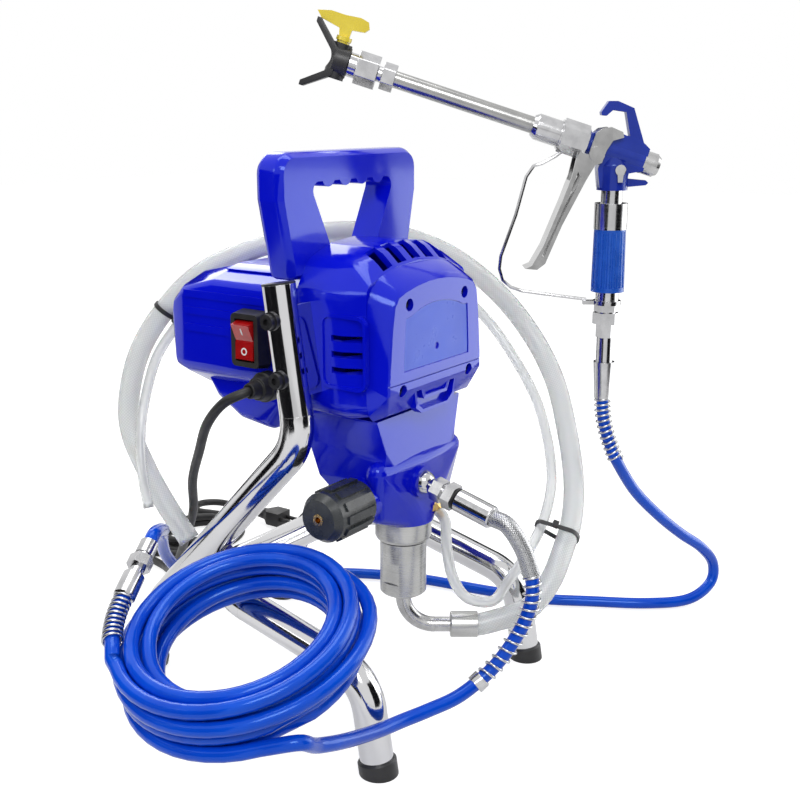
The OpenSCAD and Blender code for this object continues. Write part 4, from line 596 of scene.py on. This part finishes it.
def weave(path, radius, strands=12, turns=2.6, height=0.24):
    """Crossed flat strands round a path, each going over and under the others."""
    p = np.asarray(path, float)
    t, n = tangents(p), normals(tangents(p))
    along = np.concatenate([[0], np.cumsum(np.linalg.norm(np.diff(p, axis=0), axis=1))])
    parts = []
    steps = 150
    for sign in (1, -1):
        for k in range(strands):
            pts = []
            for s in range(steps + 1):
                z = along[-1] * s / steps
                i = min(int(np.searchsorted(along, z, side="right")) - 1, len(p) - 2)
                f = (z - along[i]) / (along[i + 1] - along[i])
                c = p[i] + (p[i + 1] - p[i]) * f
                tt = unit(t[i] + (t[i + 1] - t[i]) * f)
                nn = n[i] + (n[i + 1] - n[i]) * f
                nn = unit(nn - nn.dot(tt) * tt)
                turn = 2 * math.pi * turns * s / steps
                a = 2 * math.pi * k / strands + sign * turn
                r = radius - 0.4 + sign * height * math.cos(strands * turn)
                pts.append((c + r * (math.cos(a) * nn + math.sin(a) * np.cross(tt, nn)),
                            math.cos(a) * nn + math.sin(a) * np.cross(tt, nn)))
            parts.append(ribbon([q[0] for q in pts], [q[1] for q in pts], 1.15, 0.22))
    return parts


def ribbon(points, outward, half_width, half_height):
    """Flat strand with an oval section, its flat side facing outward."""
    p = np.array(points)
    t = tangents(p)
    verts, faces, uvs, sides = [], [], [], 8
    for i in range(len(p)):
        up = unit(outward[i] - np.dot(outward[i], t[i]) * t[i])
        across = np.cross(t[i], up)
        for k in range(sides):
            a = 2 * math.pi * k / sides
            verts.append(p[i] + half_width * math.cos(a) * across + half_height * math.sin(a) * up)
    for i in range(len(p) - 1):
        for k in range(sides):
            j = (k + 1) % sides
            faces.append((i * sides + k, i * sides + j, (i + 1) * sides + j, (i + 1) * sides + k))
            uvs += [(k / sides, i), ((k + 1) / sides, i), ((k + 1) / sides, i + 1), (k / sides, i + 1)]
    return verts, faces, uvs


braid = several("outlet_braid_weave", weave(smooth(BRAID_ROUTE, 6), HOSE_D / 2 + 1.4), braid_steel.mat,
                "machine")
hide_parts("outlet_braid")

whip_path = eased(smooth(WHIP_ROUTE, 8), (-165, 174, 163), 24, 14)
whip_line = tube("whip_hose_line", whip_path, HOSE_D / 2, blue_hose.mat, "machine", 24, first=TAIL_DIR,
                 last=(0, 0, 1))
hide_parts("whip_hose")

suction_path = smooth(SUCTION_ROUTE, 6)
suction_line = hollow_tube("suction_hose_line", suction_path, SUCTION_D / 2, SUCTION_D / 2 - 2.4,
                           suction_clear.mat, "machine", 36)
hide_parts("suction_hose")

return_path = smooth(RETURN_ROUTE, 6)
return_line = hollow_tube("return_hose_line", return_path, RETURN_D / 2, RETURN_D / 2 - 1.5, return_clear.mat,
                          "machine", 24)
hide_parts("return_hose")



cord_path = chain(smooth(CORD_ROUTE, 8), [bundle_pt(BUNDLE_TURNS * i / 168) for i in range(169)],
                  smooth(PLUG_ROUTE, 8))
cord_path = eased(cord_path, (82, 456, 4), 22, 14)
cord_line = tube("power_cord_line", cord_path, CORD_D / 2, rubber.mat, "machine", 16, first=(-1, 0, 0),
                 last=tuple(PLUG_DIR))
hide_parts("power_cord", "cord_bundle")


# ---------------------------------------------------------------- small pieces
# The cover's recessed field, as in the part's source
FIELD_Y, FIELD_MID, FIELD_BASE, FIELD_HALF = 26.9, 301.0, 288.0, 45.0
FIELD_ARC_Z, FIELD_ARC_R = 246.0, 90.0
FIELD_HOLE_R, FIELD_INSET, PLATE_THICK = 3.0, 0.6, 0.2


def field_edge(angle):
    """Distance from the small hole to the field's edge, by stepping outward."""
    r = FIELD_HOLE_R
    while True:
        x, z = r * math.cos(angle), FIELD_MID + r * math.sin(angle)
        arc = FIELD_ARC_Z + math.sqrt(FIELD_ARC_R ** 2 - x * x)
        top = max(arc, 328 + 5 * (1 - abs(x) / 42.5))
        side = min(FIELD_HALF, 45.6 - 3.1 * (z - FIELD_BASE) / 40)
        if z < FIELD_BASE + FIELD_INSET or z > top - FIELD_INSET or abs(x) > side - FIELD_INSET:
            return r
        r += 0.05


def field_panel():
    """Satin plate in the field, with the small hole left open."""
    n, verts, faces = 144, [], []
    for k in range(n):
        a = 2 * math.pi * k / n
        far = field_edge(a)
        front = FIELD_Y - PLATE_THICK
        for r, y in ((FIELD_HOLE_R, FIELD_Y), (FIELD_HOLE_R, front), (far, front), (far, FIELD_Y)):
            verts.append((r * math.cos(a), y, FIELD_MID + r * math.sin(a)))
    for k in range(n):
        j = (k + 1) % n
        for m in range(4):
            q = (m + 1) % 4
            faces.append((4 * k + m, 4 * k + q, 4 * j + q, 4 * j + m))
    return piece("field_panel", verts, faces, field_blue.mat, "machine", smooth_shading=False)


panel = field_panel()


def rocker_marks():
    """The generic I and O, as thin shapes just proud of the rocker's two faces."""
    verts, faces = [], []

    def put(origin, along, out, outline_in, outline_out):
        base, n = len(verts), len(outline_in)
        for height in (0.02, 0.16):
            for ring in (outline_in, outline_out):
                for y, t in ring:
                    verts.append(origin + np.array([0, y, 0]) + t * along + height * out)
        for k in range(n):
            j = (k + 1) % n
            for a, b in ((0, 1), (1, 3), (3, 2), (2, 0)):
                faces.append((base + a * n + k, base + b * n + k, base + b * n + j, base + a * n + j))

    def ring(r_y, r_t, n=40):
        return [(r_y * math.cos(2 * math.pi * k / n), r_t * math.sin(2 * math.pi * k / n)) for k in range(n)]

    up, low = unit([-4.6, 0, 11]), unit([0.5, 0, 13])
    put(np.array([-78.7, 156.0, 309.5]), up, unit([-11, 0, -4.6]), ring(0.05, 2.4), ring(0.75, 3.1))
    put(np.array([-76.25, 156.0, 293.5]), low, unit([-13, 0, 0.5]), ring(1.9, 1.9), ring(3.0, 3.0))
    return piece("rocker_marks", verts, faces, mark_white.mat, "rocker", smooth_shading=False)


marks = rocker_marks()

# ---------------------------------------------------------------- stage, light and world
def lamp(name, where, aim, size, watts, size_y=None):
    data = bpy.data.lights.new(name, "AREA")
    data.shape = "RECTANGLE"
    data.size, data.size_y = size, size_y or size
    data.energy = watts
    o = bpy.data.objects.new(name, data)
    bpy.context.scene.collection.objects.link(o)
    o.location = where
    o.rotation_mode = "QUATERNION"
    o.rotation_quaternion = (Vector(aim) - Vector(where)).to_track_quat("-Z", "Y")
    return o


CENTRE = (0.0, 0.1, 0.25)
lamp("key", (-1.25, -0.95, 1.55), CENTRE, 0.9, 15, 0.7)
lamp("fill", (1.3, -1.2, 0.9), CENTRE, 1.0, 6)
lamp("top", (0.1, 0.3, 1.9), CENTRE, 1.2, 10, 0.8)
lamp("back", (0.9, 1.5, 1.2), CENTRE, 0.8, 7)
lamp("side", (-1.6, 0.9, 0.8), CENTRE, 0.5, 5, 1.0)


def quad(name, centre, aim, width, height, material):
    """A flat card that faces a point."""
    rotation = (Vector(aim) - Vector(centre)).to_track_quat("Z", "Y").to_matrix().to_4x4()
    mesh = bpy.data.meshes.new(name)
    mesh.from_pydata([(-width / 2, -height / 2, 0), (width / 2, -height / 2, 0), (width / 2, height / 2, 0),
                      (-width / 2, height / 2, 0)], [], [(0, 1, 2, 3)])
    mesh.materials.append(material)
    o = bpy.data.objects.new(name, mesh)
    bpy.context.scene.collection.objects.link(o)
    o.matrix_world = Matrix.Translation(centre) @ rotation
    return o


def reflections_only(obj):
    """Leaves a stage card to glossy reflections alone."""
    for ray in ("camera", "diffuse", "shadow", "transmission", "volume_scatter"):
        setattr(obj, "visible_" + ray, False)


def card_material():
    m = bpy.data.materials.new("card")
    m.use_nodes = True
    bsdf = m.node_tree.nodes["Principled BSDF"]
    bsdf.inputs["Base Color"].default_value = (0.01, 0.01, 0.012, 1)
    bsdf.inputs["Roughness"].default_value = 1.0
    bsdf.inputs["Specular IOR Level"].default_value = 0.0
    return m


card = card_material()
# Dark flags round the product, from the floor up: name, direction and spread in degrees, distance, height
FLAGS = [("flag_front", -85, 40, 0.85, 0.6), ("flag_right", 7, 25, 0.95, 0.6), ("flag_left", 140, 50, 0.85, 0.65),
         ("flag_back", 65, 20, 0.9, 0.6), ("flag_far_left", -178, 34, 0.8, 0.5)]
for name, direction, spread, reach, height in FLAGS:
    a = math.radians(direction)
    centre = (reach * math.cos(a), 0.1 + reach * math.sin(a), height / 2)
    o = quad(name, centre, (0, 0.1, height / 2), 2 * reach * math.tan(math.radians(spread / 2)), height, card)
    reflections_only(o)


def glow_material(strength):
    m = bpy.data.materials.new("glow")
    m.use_nodes = True
    bsdf = m.node_tree.nodes["Principled BSDF"]
    bsdf.inputs["Base Color"].default_value = (0, 0, 0, 1)
    bsdf.inputs["Emission Color"].default_value = (1, 1, 1, 1)
    bsdf.inputs["Emission Strength"].default_value = strength
    return m


# A bright panel low on the right, which the glossy front faces mirror
o = quad("glow_front", (0.70, -0.42, 0.2), (0, 0.1, 0.2), 0.6, 0.38, glow_material(3.4))
reflections_only(o)


def floor_material():
    m = bpy.data.materials.new("floor")
    m.use_nodes = True
    t = m.node_tree
    t.nodes.clear()
    out = t.nodes.new("ShaderNodeOutputMaterial")
    diffuse = t.nodes.new("ShaderNodeBsdfDiffuse")
    diffuse.inputs["Color"].default_value = (0.55, 0.55, 0.55, 1)
    glow = t.nodes.new("ShaderNodeEmission")
    glow.inputs["Color"].default_value = (1, 1, 1, 1)
    path = t.nodes.new("ShaderNodeLightPath")
    level = None
    for ray, strength in (("Is Camera Ray", 0.78), ("Is Transmission Ray", 0.78), ("Is Glossy Ray", 0.45)):
        part = t.nodes.new("ShaderNodeMath")
        part.operation = "MULTIPLY"
        part.inputs[1].default_value = strength
        t.links.new(path.outputs[ray], part.inputs[0])
        if level is not None:
            most = t.nodes.new("ShaderNodeMath")
            most.operation = "MAXIMUM"
            t.links.new(level.outputs[0], most.inputs[0])
            t.links.new(part.outputs[0], most.inputs[1])
            part = most
        level = part
    t.links.new(level.outputs[0], glow.inputs["Strength"])
    add = t.nodes.new("ShaderNodeAddShader")
    t.links.new(diffuse.outputs[0], add.inputs[0])
    t.links.new(glow.outputs[0], add.inputs[1])
    t.links.new(add.outputs[0], out.inputs["Surface"])
    return m


floor_mesh = bpy.data.meshes.new("floor")
floor_mesh.from_pydata([(-6, -6, -0.0003), (6, -6, -0.0003), (6, 6, -0.0003), (-6, 6, -0.0003)], [],
                       [(0, 1, 2, 3)])
floor_mesh.materials.append(floor_material())
floor = bpy.data.objects.new("floor", floor_mesh)
bpy.context.scene.collection.objects.link(floor)


def make_world():
    world = bpy.data.worlds.new("studio")
    bpy.context.scene.world = world
    world.use_nodes = True
    t = world.node_tree
    t.nodes.clear()
    out = t.nodes.new("ShaderNodeOutputWorld")
    light = t.nodes.new("ShaderNodeBackground")
    light.inputs["Color"].default_value = (1, 1, 1, 1)
    light.inputs["Strength"].default_value = 0.42
    white = t.nodes.new("ShaderNodeBackground")
    white.inputs["Color"].default_value = (1, 1, 1, 1)
    white.inputs["Strength"].default_value = 1.0
    path = t.nodes.new("ShaderNodeLightPath")
    most = path.outputs["Is Camera Ray"]
    for name in ("Is Glossy Ray", "Is Transmission Ray"):
        m = t.nodes.new("ShaderNodeMath")
        m.operation = "MAXIMUM"
        t.links.new(most, m.inputs[0])
        t.links.new(path.outputs[name], m.inputs[1])
        most = m.outputs[0]
    mix = t.nodes.new("ShaderNodeMixShader")
    t.links.new(most, mix.inputs["Fac"])
    t.links.new(light.outputs[0], mix.inputs[1])
    t.links.new(white.outputs[0], mix.inputs[2])
    t.links.new(mix.outputs[0], out.inputs["Surface"])


make_world()
bpy.context.scene.view_settings.view_transform = "Standard"
